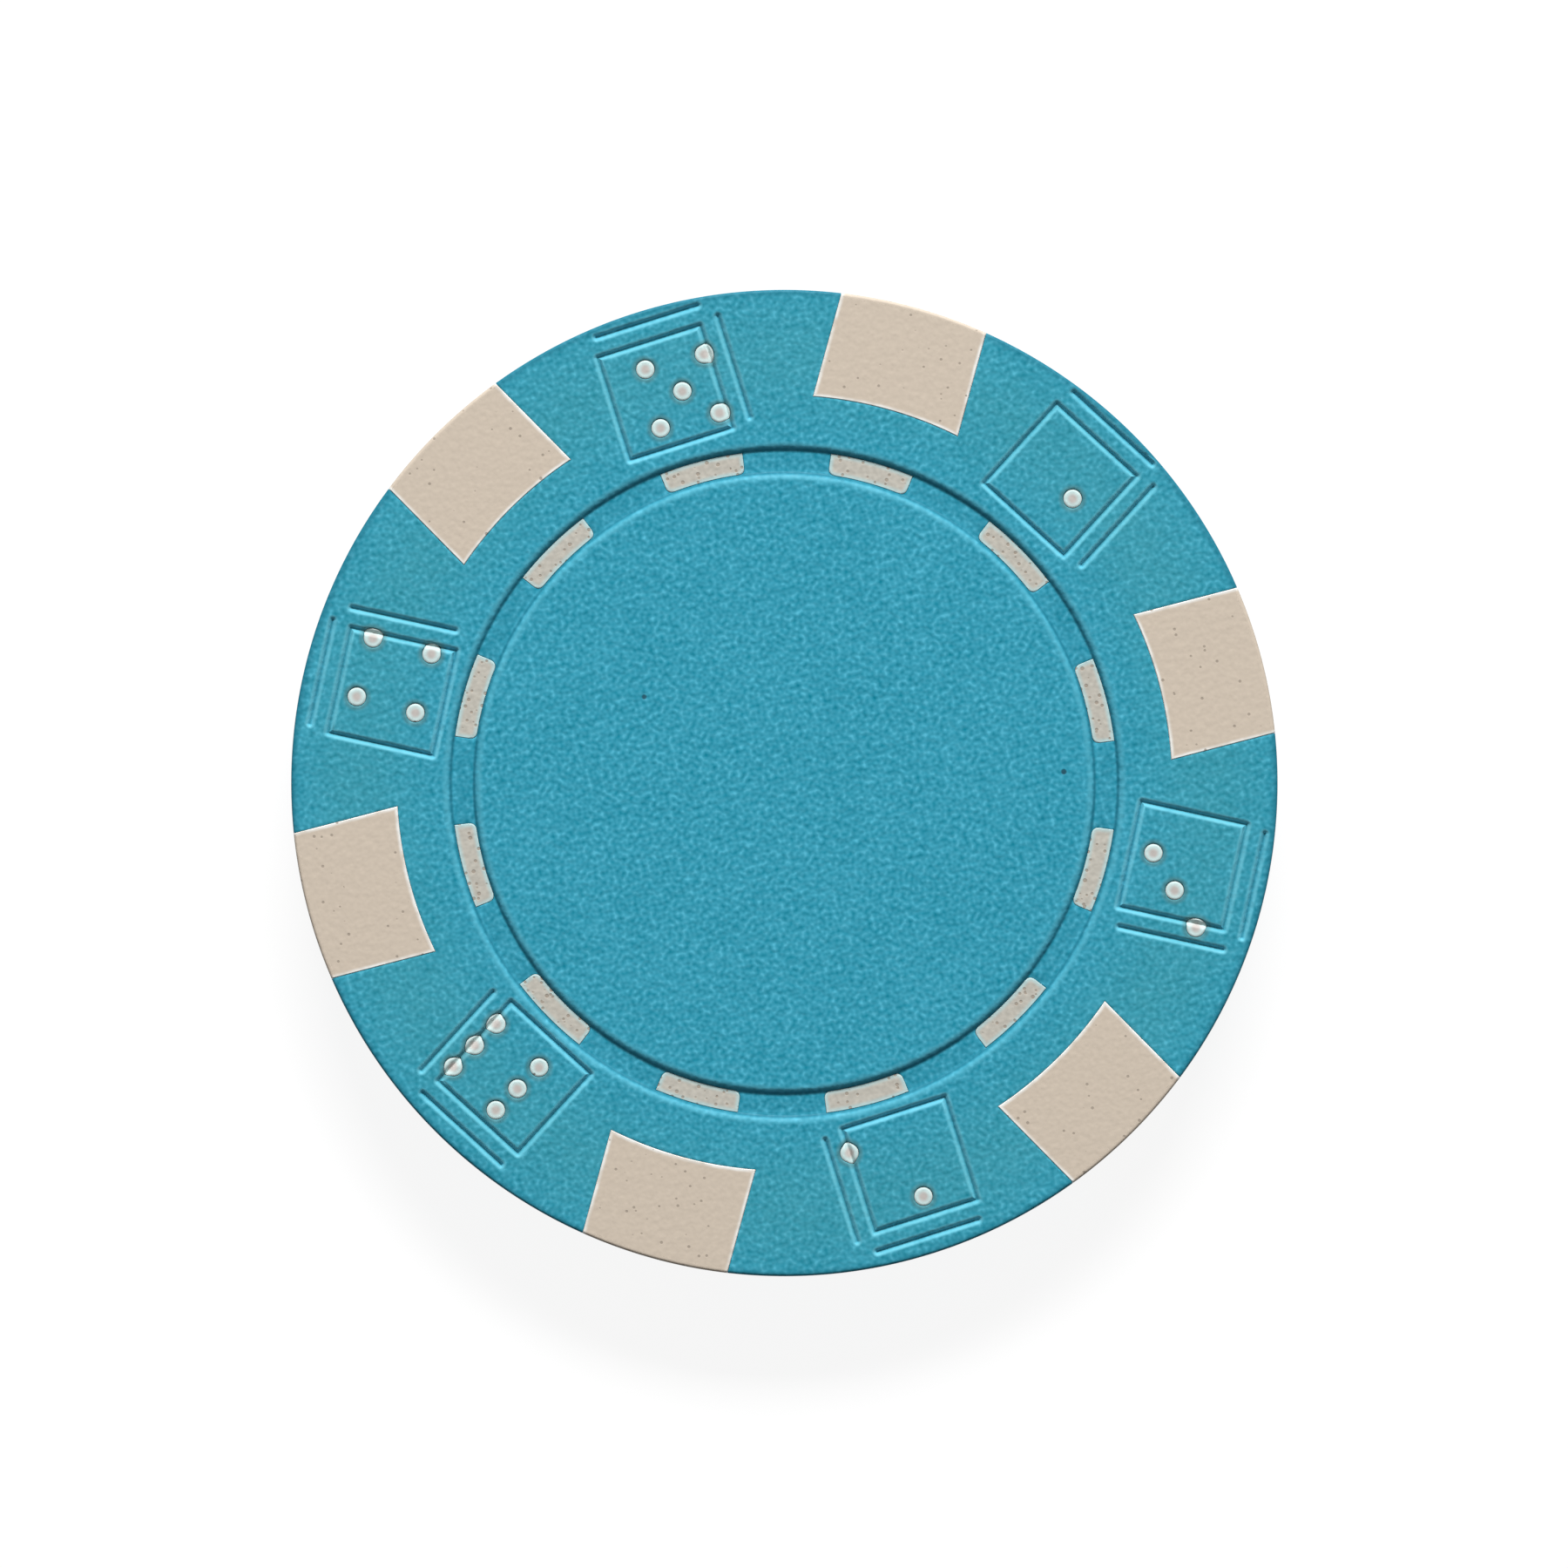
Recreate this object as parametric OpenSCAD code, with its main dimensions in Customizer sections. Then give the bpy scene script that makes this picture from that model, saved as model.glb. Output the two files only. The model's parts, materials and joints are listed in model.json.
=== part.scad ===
// Poker chip: a moulded blue body over an ivory insert core and a steel weight slug.
// Millimetres, +Z up. Origin: middle of the lower face. +X: through the middle of an edge spot.

/* [Chip] */
// Diameter over the rim
chip_d = 39; // [36:0.5:44]
// Thickness over both faces
chip_t = 3.3; // [3.1:0.05:3.8]
// Radius on the two edges of the rim
rim_round = 0.16; // [0.12:0.01:0.4]

/* [Ring groove] */
// Distance from the rim to the middle of the ring groove
ring_inset = 6.77; // [6.2:0.01:8]
// Width of the groove's floor
ring_floor_w = 0.88; // [0.6:0.02:1.2]
// Width of each sloping wall, seen from above
ring_slope_w = 0.2; // [0.1:0.02:0.4]
// Depth of the groove's floor below the face
ring_depth = 0.16; // [0.12:0.01:0.35]

/* [Edge spots] */
// Width of an edge spot between its straight sides
spot_w = 5.93; // [4:0.01:7]
// Length of an edge spot, from the rim inwards
spot_len = 4.18; // [2.5:0.01:4.7]

/* [Dashes] */
// Length of a dash along the middle of the groove
dash_len = 3.25; // [2:0.05:4]
// Strip of blue floor left beside a dash
dash_inset = 0.02; // [0.02:0.01:0.1]

/* [Dice] */
// Value on each die, counter-clockwise from the +X edge spot
die_values = [1, 5, 4, 6, 2, 3];
// Distance from the rim to the middle of a die
die_inset = 3.5; // [3:0.05:4]
// Diameter of a pip at the face
pip_d = 0.72; // [0.5:0.02:0.9]
// Draft on the sides of a pip's post, in degrees
pip_draft = 8; // [1:1:12]
// Distance between the rows of pips
pip_pitch = 1.2; // [1:0.02:1.4]
// Side of a die's square outline
die_side = 4.24; // [3.8:0.02:4.5]
// Distance from the square to the two lines that make it a cube
cube_gap = 0.78; // [0.6:0.02:0.85]
// How far those two lines slide along the square
cube_slide = 0.17; // [0:0.01:0.25]
// Width of an engraved line at the face
line_w = 0.42; // [0.2:0.02:0.44]
// Depth of an engraved line
line_depth = 0.12; // [0.08:0.01:0.25]
// Angle by which the outlines run ahead of the pips, in degrees
die_lead = 3; // [0:0.1:4]
// Distance of the outlines' centre from the chip's, as the face moulds sit
outline_shift = 0.21; // [0:0.01:0.25]
// Direction of that distance, in degrees from +X
outline_shift_angle = 41; // [0:1:360]

/* [Weight slug] */
// Distance from the rim to the edge of the steel slug
slug_inset = 5.2; // [4.8:0.05:7]
// Thickness of the slug
slug_t = 1.7; // [1.5:0.05:1.8]
// Diameter of the slug's flow holes
slug_hole_d = 2; // [1.5:0.1:3]
// Radius of the circle of flow holes
slug_hole_r = 7; // [5:0.1:9]

/* [Insert core] */
// Thickness of the flanges that grip the slug
flange_t = 0.25; // [0.2:0.01:0.3]
// How far a flange runs inwards past the dashes
flange_lap = 0.5; // [0.3:0.05:1]
// Wall outside the slug
tyre_wall = 1.2; // [0.8:0.05:1.5]
// Thickness of the web that carries pips and edge spots
web_t = 1.2; // [1:0.05:1.5]
// How far the web runs outwards past the pips
web_lap = 0.64; // [0.3:0.02:0.9]
// Diameter of the lock holes through the web
lock_d = 2; // [1.5:0.1:2.2]
// Angle from a die's middle to its two lock holes, in degrees
lock_angle = 13.5; // [12:0.1:15]

/* [Hidden] */
$fn = 128;
over = 0.4;
sectors = 6;
sector_angle = 360 / sectors;
dashes = 2 * sectors;
chip_r = chip_d / 2;
half_t = chip_t / 2;
ring_r = chip_r - ring_inset;
ring_floor_z = half_t - ring_depth;
ring_floor_in = ring_r - ring_floor_w / 2;
ring_floor_out = ring_r + ring_floor_w / 2;
spot_in_r = chip_r - spot_len;
dash_w = ring_floor_w - 2 * dash_inset;
dash_half_angle = 90 * dash_len / (PI * ring_r);
die_r = chip_r - die_inset;
slug_r = chip_r - slug_inset;
flange_in_r = ring_r - dash_w / 2 - flange_lap;
flange_z = slug_t / 2 + flange_t;
tyre_r = slug_r + tyre_wall;
web_r = die_r + pip_pitch + pip_d / 2 + web_lap;
lock_r = (tyre_r + web_r) / 2;

// Lifts what is built about the middle plane so that it stands on z = 0
module stand() {
    translate([0, 0, half_t])
        children();
}

// Repeats one face's features on the other face, turned over about the +X axis
module both_faces() {
    children();
    rotate([180, 0, 0])
        children();
}

// Repeats a feature evenly round the chip
module around(count, start = 0) {
    for (i = [0 : count - 1])
        rotate(start + i * 360 / count)
            children();
}

// Section of the ring groove in the upper face
module ring_section() {
    polygon([
        [ring_floor_in, ring_floor_z],
        [ring_floor_out, ring_floor_z],
        [ring_floor_out + ring_slope_w, half_t],
        [ring_floor_out + ring_slope_w, half_t + over],
        [ring_floor_in - ring_slope_w, half_t + over],
        [ring_floor_in - ring_slope_w, half_t]
    ]);
}

// Outer form of the chip, as its mould leaves it: disc, rounded rim and ring grooves
module blank() {
    rotate_extrude()
        difference() {
            union() {
                translate([0, -half_t])
                    square([chip_r - rim_round, chip_t]);
                translate([0, rim_round - half_t])
                    square([chip_r, chip_t - 2 * rim_round]);
                for (side = [-1, 1])
                    translate([chip_r - rim_round, side * (half_t - rim_round)])
                        circle(rim_round);
            }
            ring_section();
            mirror([0, 1])
                ring_section();
        }
}

// One edge spot, run past the faces and the rim
module spot_block() {
    linear_extrude(height = chip_t + 2 * over, center = true)
        difference() {
            translate([0, -spot_w / 2])
                square([chip_r + over, spot_w]);
            circle(spot_in_r);
        }
}

// One dash, from inside the flange to above the groove's floor
module dash_post() {
    reach = 2 * chip_r;
    tip = reach * tan(dash_half_angle);
    linear_extrude(height = ring_floor_z + over / 2)
        intersection() {
            difference() {
                circle(ring_r + dash_w / 2);
                circle(ring_r - dash_w / 2);
            }
            polygon([[0, 0], [reach, -tip], [reach, tip]]);
        }
}

// One pip at a place on the die: across is clockwise, out is towards the rim
module pip_post(across, out) {
    taper = tan(pip_draft);
    translate([die_r + out * pip_pitch, -across * pip_pitch, 0])
        cylinder(h = half_t + over, r1 = pip_d / 2 + half_t * taper, r2 = pip_d / 2 - over * taper);
}

// Pips of one die, on the traditional three by three grid
module die_pips(value) {
    slant = value == 3 ? 1 : -1;
    if (value % 2 == 1)
        pip_post(0, 0);
    if (value > 1) {
        pip_post(slant, 1);
        pip_post(-slant, -1);
    }
    if (value > 3) {
        pip_post(-slant, 1);
        pip_post(slant, -1);
    }
    if (value == 6) {
        pip_post(1, 0);
        pip_post(-1, 0);
    }
}

// Ivory ring: flanges over the slug's edge, a wall outside it and a thinner web
module core_ring() {
    difference() {
        union() {
            cylinder(h = 2 * flange_z, r = tyre_r, center = true);
            cylinder(h = web_t, r = web_r, center = true);
        }
        cylinder(h = chip_t, r = flange_in_r, center = true);
        around(sectors, sector_angle / 2)
            for (side = [-1, 1])
                rotate(side * lock_angle)
                    translate([lock_r, 0, 0])
                        cylinder(h = chip_t, d = lock_d, center = true);
    }
}

// Ivory core before the mould trims it: its marks run past the faces and the rim
module core_stock() {
    difference() {
        union() {
            core_ring();
            around(sectors)
                spot_block();
            both_faces() {
                around(dashes)
                    dash_post();
                for (i = [0 : sectors - 1])
                    rotate((i + 0.5) * sector_angle)
                        die_pips(die_values[i]);
            }
        }
        cylinder(h = slug_t, r = slug_r, center = true);
    }
}

// Steel disc with flow holes, about the middle plane
module slug_disc() {
    difference() {
        cylinder(h = slug_t, r = slug_r, center = true);
        around(sectors, sector_angle / 2)
            translate([slug_hole_r, 0, 0])
                cylinder(h = chip_t, d = slug_hole_d, center = true);
    }
}

// Cutter for one engraved line along Y, point down; its flanks run on above the face
module line_cut(length) {
    rise = 0.6 * line_depth;
    spread = line_w / 2 * (1 + rise / line_depth);
    rotate([90, 0, 0])
        linear_extrude(height = length, center = true)
            polygon([[-spread, rise], [0, -line_depth], [spread, rise]]);
}

// Cutters for one die's outline: a square, and two lines on its far sides
module die_outline() {
    full = die_side + 1.2 * line_w;
    translate([die_r, 0, half_t]) {
        for (side = [-1, 1]) {
            translate([side * die_side / 2, 0, 0])
                line_cut(full);
            translate([0, side * die_side / 2, 0])
                rotate(90)
                    line_cut(full);
        }
        translate([die_side / 2 + cube_gap, -cube_slide, 0])
            line_cut(full);
        translate([cube_slide, -die_side / 2 - cube_gap, 0])
            rotate(90)
                line_cut(full);
    }
}

// Outer form with the dice outlines engraved in both faces
module engraved_blank() {
    difference() {
        blank();
        both_faces()
            rotate(outline_shift_angle)
                translate([outline_shift, 0, 0])
                    rotate(-outline_shift_angle)
                        around(sectors, sector_angle / 2 + die_lead)
                            die_outline();
    }
}

// Blue second shot: everything in the mould that is not core or slug
module body() {
    color([0.23, 0.6, 0.7])
        stand()
            difference() {
                difference() {
                    engraved_blank();
                    core_stock();
                }
                slug_disc();
            }
}

// Ivory first shot: edge spots, dashes and pips on one ring that holds the slug
module insert_core() {
    color([0.8, 0.75, 0.68])
        stand()
            intersection() {
                engraved_blank();
                core_stock();
            }
}

// Steel weight
module weight_slug() {
    color([0.6, 0.6, 0.62])
        stand()
            slug_disc();
}

body();
insert_core();
weight_slug();
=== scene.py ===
"""Poker chip: the looks of a two-shot moulded chip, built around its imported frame."""
import json
import logging
import math
from dataclasses import dataclass
from enum import Enum
from typing import Any, Iterable, Sequence

import bpy
import numpy as np
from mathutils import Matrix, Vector
from mathutils.geometry import delaunay_2d_cdt

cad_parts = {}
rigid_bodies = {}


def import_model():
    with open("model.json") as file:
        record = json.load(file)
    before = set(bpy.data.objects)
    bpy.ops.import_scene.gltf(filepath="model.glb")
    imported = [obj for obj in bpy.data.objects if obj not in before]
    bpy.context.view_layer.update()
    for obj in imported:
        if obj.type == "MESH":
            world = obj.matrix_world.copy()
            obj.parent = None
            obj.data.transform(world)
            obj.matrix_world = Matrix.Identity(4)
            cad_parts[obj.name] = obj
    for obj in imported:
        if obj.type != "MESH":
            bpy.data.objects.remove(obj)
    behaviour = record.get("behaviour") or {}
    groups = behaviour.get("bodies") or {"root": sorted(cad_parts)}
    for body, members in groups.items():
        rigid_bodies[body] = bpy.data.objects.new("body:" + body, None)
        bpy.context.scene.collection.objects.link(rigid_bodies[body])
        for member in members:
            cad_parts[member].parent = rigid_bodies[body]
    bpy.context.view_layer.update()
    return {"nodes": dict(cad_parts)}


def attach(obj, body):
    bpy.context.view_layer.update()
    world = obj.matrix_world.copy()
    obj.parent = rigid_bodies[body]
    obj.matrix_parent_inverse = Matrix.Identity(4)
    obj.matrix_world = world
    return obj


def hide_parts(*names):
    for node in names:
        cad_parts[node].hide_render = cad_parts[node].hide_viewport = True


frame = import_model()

MM = 0.001
BODY = "root"
LOG = logging.getLogger("chip")

Points = np.ndarray
Settings = dict[str, Any]
Sockets = dict[Any, Any]
TINY = 1e-6
CORNER_STEPS = 5


class Slant(Enum):
    """Which way the first diagonal of a die's pips runs, seen from above."""

    FORWARD = 1
    BACKWARD = -1


class Slot(Enum):
    """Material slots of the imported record."""

    BLUE = "blue_plastic"
    IVORY = "ivory_plastic"
    STEEL = "slug_steel"


@dataclass(frozen=True)
class ChipSizes:
    """Sizes of the chip in millimetres and degrees, within 0.04 mm of the part's source."""

    radius: float = 19.5
    thickness: float = 3.3
    rim_round: float = 0.12
    ring_radius: float = 12.73
    ring_floor: float = 0.88
    ring_wall: float = 0.2
    ring_depth: float = 0.18
    sectors: int = 6
    spot_width: float = 5.93
    spot_length: float = 4.18
    dashes: int = 12
    dash_length: float = 3.25
    dash_width: float = 0.84
    die_values: tuple[int, ...] = (1, 5, 4, 6, 2, 3)
    die_radius: float = 16.0
    pip_radius: float = 0.36
    pip_pitch: float = 1.2
    die_side: float = 4.24
    cube_gap: float = 0.78
    cube_slide: float = 0.17
    line_width: float = 0.44
    line_depth: float = 0.14
    die_lead: float = 3.0
    outline_shift: float = 0.21
    outline_shift_angle: float = 41.0
    slug_radius: float = 14.3
    slug_thickness: float = 1.7

    @property
    def half(self) -> float:
        """Half the chip's thickness."""
        return self.thickness / 2

    @property
    def spot_inner(self) -> float:
        """Radius of the inner end of an edge spot."""
        return self.radius - self.spot_length

    @property
    def sector_angle(self) -> float:
        """Angle from one edge spot to the next, in degrees."""
        return 360 / self.sectors

    def slant(self, value: int) -> Slant:
        """The diagonal that a die of this value starts from."""
        return Slant.FORWARD if value == 3 else Slant.BACKWARD


# Drawing in the plane


def turned(points: Points, degrees: float) -> Points:
    """Turns points of the plane about the chip's axis.

    Args:
        points: An array of x and y pairs.
        degrees: Angle, counter-clockwise.

    Returns:
        The turned points.
    """
    c, s = math.cos(math.radians(degrees)), math.sin(math.radians(degrees))
    return np.asarray(points, float) @ np.array([[c, s], [-s, c]])


def arc(
    radius: float, start: float, stop: float, steps: int, centre: Sequence[float] = (0, 0)
) -> Points:
    """Points on an arc, both ends included.

    Args:
        radius: Radius of the arc.
        start: First angle in degrees.
        stop: Last angle in degrees.
        steps: Number of chords.
        centre: Middle of the arc.

    Returns:
        An array of steps + 1 points.
    """
    a = np.radians(np.linspace(start, stop, steps + 1))
    return np.column_stack([np.cos(a), np.sin(a)]) * radius + np.asarray(centre, float)


def divided(corners: Sequence[Sequence[float]], pitch: float, closed: bool = False) -> Points:
    """A straight-sided path with extra points along its sides.

    Args:
        corners: The path's corners.
        pitch: Longest distance between neighbouring points.
        closed: Whether the path returns to its start.

    Returns:
        The path's points, without a repeat of the first.
    """
    pts = np.asarray(corners, float)
    ends = np.vstack([pts[1:], pts[:1]]) if closed else pts[1:]
    out: list[Points] = []
    for a, b in zip(pts, ends):
        n = math.ceil(max(0.0, float(np.linalg.norm(b - a)) - TINY) / pitch)
        out.append(a + (b - a) * (np.arange(n) / max(n, 1))[:, None])
    if not closed:
        out.append(pts[-1:])
    return np.vstack(out)


def rounded_box(half_x: float, half_y: float, grow: float) -> Points:
    """A box, or a line where one half size is 0, pushed outwards with round corners.

    Args:
        half_x: Half the box's size along x.
        half_y: Half the box's size along y.
        grow: How far it is pushed outwards.

    Returns:
        The outline's points, counter-clockwise.
    """
    signs = ((1, 1), (-1, 1), (-1, -1), (1, -1))
    corners = [(sx * half_x, sy * half_y) for sx, sy in signs]
    if grow == 0:
        return np.array(corners, float)
    turns = [arc(grow, 90 * k, 90 * k + 90, CORNER_STEPS, c) for k, c in enumerate(corners)]
    return np.vstack(turns)


def distance_to_lines(points: Points, lines: Points) -> Points:
    """Distance from each point to the nearest of some straight lines.

    Args:
        points: An array of x and y pairs.
        lines: An array of start and end points, shaped (count, 2, 2).

    Returns:
        One distance for each point.
    """
    best = np.full(len(points), np.inf)
    for a, b in lines:
        d = b - a
        t = np.clip(((points - a) @ d) / (d @ d), 0, 1)
        best = np.minimum(best, np.linalg.norm(points - a - t[:, None] * d, axis=1))
    return best


def inside(points: Points, polygon: Points) -> Points:
    """Whether each point lies inside a polygon.

    Args:
        points: An array of x and y pairs.
        polygon: The polygon's corners in order.

    Returns:
        One truth value for each point.
    """
    x, y = points[:, 0], points[:, 1]
    result = np.zeros(len(points), bool)
    for (x0, y0), (x1, y1) in zip(polygon, np.roll(polygon, -1, axis=0)):
        if y0 != y1:
            cross = x0 + (y - y0) * (x1 - x0) / (y1 - y0)
            result ^= ((y0 > y) != (y1 > y)) & (x < cross)
    return result


def corner_distance(side: Points, end: Points) -> Points:
    """Signed distance to an outline with two kinds of edge, above 0 inside both.

    Args:
        side: Signed distances to the first edge.
        end: Signed distances to the second edge.

    Returns:
        One distance for each point.
    """
    outer = -np.hypot(np.minimum(side, 0), np.minimum(end, 0))
    return np.where((side > 0) & (end > 0), np.minimum(side, end), outer)


class Plan:
    """Guide lines in the plane, triangulated so that each one stays a row of mesh edges."""

    MERGE = 1e-4
    SLIVER = 1e-10

    def __init__(self) -> None:
        """Starts an empty plan."""
        self.points: list[tuple[float, float]] = []
        self.edges: list[tuple[int, int]] = []
        self.openings: list[Points] = []

    def line(self, points: Points, closed: bool = False) -> None:
        """Adds a guide line.

        Args:
            points: The line's points in order.
            closed: Whether the last point joins the first.
        """
        first = len(self.points)
        self.points += [tuple(p) for p in np.asarray(points, float)]
        count = len(self.points) - first
        self.edges += [(first + i, first + i + 1) for i in range(count - 1)]
        if closed:
            self.edges.append((first + count - 1, first))

    def runs(self, points: Points, keep: Points, closed: bool = False) -> None:
        """Adds the stretches of a guide line whose points are all kept.

        Args:
            points: The line's points in order.
            keep: One truth value for each point.
            closed: Whether the last point joins the first.
        """
        if keep.all():
            self.line(points, closed)
            return
        start = int(np.argmin(keep)) if closed else 0
        order = (np.arange(len(points)) + start) % len(points)
        run: list[Points] = []
        for i in list(order) + [-1]:
            if i >= 0 and keep[i]:
                run.append(points[i])
                continue
            if len(run) > 1:
                self.line(np.array(run))
            run = []

    def scatter(self, points: Points) -> None:
        """Adds loose points that keep the flat parts evenly meshed."""
        self.points += [tuple(p) for p in points]

    def opening(self, polygon: Points) -> None:
        """Adds a closed guide line whose inside stays empty."""
        self.line(polygon, closed=True)
        self.openings.append(np.asarray(polygon, float))

    def triangles(self, empty: Iterable[Points] = ()) -> tuple[Points, Points]:
        """Triangulates the plan.

        Args:
            empty: Further polygons to leave empty.

        Returns:
            The points and the triangles that index them, counter-clockwise.
        """
        corners = [Vector(p) for p in self.points]
        found = delaunay_2d_cdt(corners, self.edges, [], 0, self.MERGE, False)
        pts = np.array([tuple(v) for v in found[0]])
        tris = np.array([f for f in found[2] if len(f) == 3])
        a, b, c = (pts[tris[:, k]] for k in range(3))
        area = (b[:, 0] - a[:, 0]) * (c[:, 1] - a[:, 1]) - (b[:, 1] - a[:, 1]) * (c[:, 0] - a[:, 0])
        tris[area < 0] = tris[area < 0][:, ::-1]
        keep = np.abs(area) > self.SLIVER
        middle = (a + b + c) / 3
        for polygon in [*self.openings, *empty]:
            low, high = polygon.min(axis=0), polygon.max(axis=0)
            near = np.flatnonzero(((middle >= low) & (middle <= high)).all(axis=1))
            keep[near] &= ~inside(middle[near], polygon)
        return pts, tris[keep]


def boundary(tris: Points) -> list[tuple[int, int]]:
    """Edges that only one triangle uses, in that triangle's direction."""
    edges = {(int(t[i]), int(t[(i + 1) % 3])) for t in tris for i in range(3)}
    return [e for e in edges if (e[1], e[0]) not in edges]


def traced(edges: list[tuple[int, int]]) -> list[list[int]]:
    """Closed loops of points from the edges round openings.

    Args:
        edges: Edges in one direction, one from each point.

    Returns:
        The loops, in a fixed order.
    """
    following = dict(sorted(edges))
    assert len(following) == len(edges), "two openings touch at a point"
    loops: list[list[int]] = []
    while following:
        loop = [min(following)]
        while following[loop[-1]] != loop[0]:
            loop.append(following[loop[-1]])
        for point in loop:
            del following[point]
        loops.append(loop)
    return loops


class Shell:
    """A closed mesh in the making, with named values on its points."""

    FAR = 99.0

    def __init__(self, *names: str) -> None:
        """Starts an empty shell.

        Args:
            names: The named values that its points carry.
        """
        self.points: list[tuple[float, float, float]] = []
        self.faces: list[tuple[int, ...]] = []
        self.values: dict[str, list[float]] = {name: [] for name in names}

    def add(self, points: Points, **values: Any) -> int:
        """Adds points.

        Args:
            points: An array of x, y and z in millimetres.
            values: For each named value, one number or one for each point. A gap that isn't given
                is far, and any other value is 0.

        Returns:
            The number of the first new point.
        """
        first = len(self.points)
        self.points += [tuple(p) for p in np.asarray(points, float)]
        for name, kept in self.values.items():
            absent = self.FAR if name.endswith("gap") else 0.0
            kept += list(np.broadcast_to(values.get(name, absent), len(points)))
        return first

    def mesh(self, name: str) -> bpy.types.Mesh:
        """Makes the Blender mesh, in metres.

        Args:
            name: Name of the mesh.

        Returns:
            The mesh, with its values stored as point attributes.
        """
        mesh = bpy.data.meshes.new(name)
        mesh.from_pydata((np.array(self.points) * MM).tolist(), [], self.faces)
        used = {i for face in self.faces for i in face}
        assert len(used) == len(self.points), f"{name} has loose points"
        for key, kept in self.values.items():
            layer = mesh.attributes.new(key, "FLOAT", "POINT")
            layer.data.foreach_set("value", np.array(kept, np.float32))
        mesh.validate()
        mesh.update()
        return mesh


def prism(points: Points, tris: Points, top: Points, bottom: Points, **values: Any) -> Shell:
    """A closed shell between two heights over one plan.

    Args:
        points: The plan's points.
        tris: The plan's triangles.
        top: Upper height at each point.
        bottom: Lower height at each point.
        values: Named values at each point, the same above and below.

    Returns:
        The shell.
    """
    used = np.unique(tris)
    place = np.full(len(points), -1)
    place[used] = np.arange(len(used))
    tris = place[tris]
    shell = Shell(*values)
    kept = {name: np.asarray(v)[used] for name, v in values.items()}
    shell.add(np.column_stack([points[used], top[used]]), **kept)
    low = shell.add(np.column_stack([points[used], bottom[used]]), **kept)
    shell.faces += [tuple(t) for t in tris.tolist()]
    shell.faces += [tuple(i + low for i in reversed(t)) for t in tris.tolist()]
    shell.faces += [(b, a, a + low, b + low) for a, b in boundary(tris)]
    return shell


# Node trees


class Wire:
    """A node's output that takes part in Python arithmetic on plain values."""

    def __init__(self, graph: "Graph", socket: bpy.types.NodeSocket) -> None:
        """Wraps one output socket of a graph."""
        self.graph = graph
        self.socket = socket

    def _math(self, operation: str, *values: Any) -> "Wire":
        """A Math node on these values."""
        return self.graph.out("ShaderNodeMath", {"operation": operation}, dict(enumerate(values)))

    def __add__(self, other: Any) -> "Wire":
        """Sum."""
        return self._math("ADD", self, other)

    def __radd__(self, other: Any) -> "Wire":
        """Sum with the number first."""
        return self._math("ADD", other, self)

    def __sub__(self, other: Any) -> "Wire":
        """Difference."""
        return self._math("SUBTRACT", self, other)

    def __rsub__(self, other: Any) -> "Wire":
        """Difference with the number first."""
        return self._math("SUBTRACT", other, self)

    def __mul__(self, other: Any) -> "Wire":
        """Product."""
        return self._math("MULTIPLY", self, other)

    def __rmul__(self, other: Any) -> "Wire":
        """Product with the number first."""
        return self._math("MULTIPLY", other, self)

    def __truediv__(self, other: Any) -> "Wire":
        """Quotient."""
        return self._math("DIVIDE", self, other)

    def __rtruediv__(self, other: Any) -> "Wire":
        """Quotient with the number first."""
        return self._math("DIVIDE", other, self)

    def __neg__(self) -> "Wire":
        """The value with its sign changed."""
        return self._math("MULTIPLY", self, -1.0)

    def __abs__(self) -> "Wire":
        """The value without its sign."""
        return self._math("ABSOLUTE", self)

    def __mod__(self, other: Any) -> "Wire":
        """Remainder."""
        return self._math("MODULO", self, other)

    def root(self) -> "Wire":
        """Square root."""
        return self._math("SQRT", self)

    def sine(self) -> "Wire":
        """Sine of an angle in radians."""
        return self._math("SINE", self)

    def cosine(self) -> "Wire":
        """Cosine of an angle in radians."""
        return self._math("COSINE", self)

    def over(self, limit: Any) -> "Wire":
        """One where the value is above the limit, else nothing."""
        return self._math("GREATER_THAN", self, limit)

    def most(self, other: Any) -> "Wire":
        """The larger of two values."""
        return self._math("MAXIMUM", self, other)

    def held(self) -> "Wire":
        """The value held between 0 and 1."""
        return self.graph.out("ShaderNodeClamp", {}, {"Value": self})

    def bent(self, bend: Any) -> "Wire":
        """A value from 0 to 1 that rises late, the more so the larger the bend."""
        t = self.held()
        return t * (1 - (1 - t) * bend)

    def eased(self) -> "Wire":
        """A value from 0 to 1 that starts and ends its rise gently."""
        t = self.held()
        return t * t * (3 - 2 * t)


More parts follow.
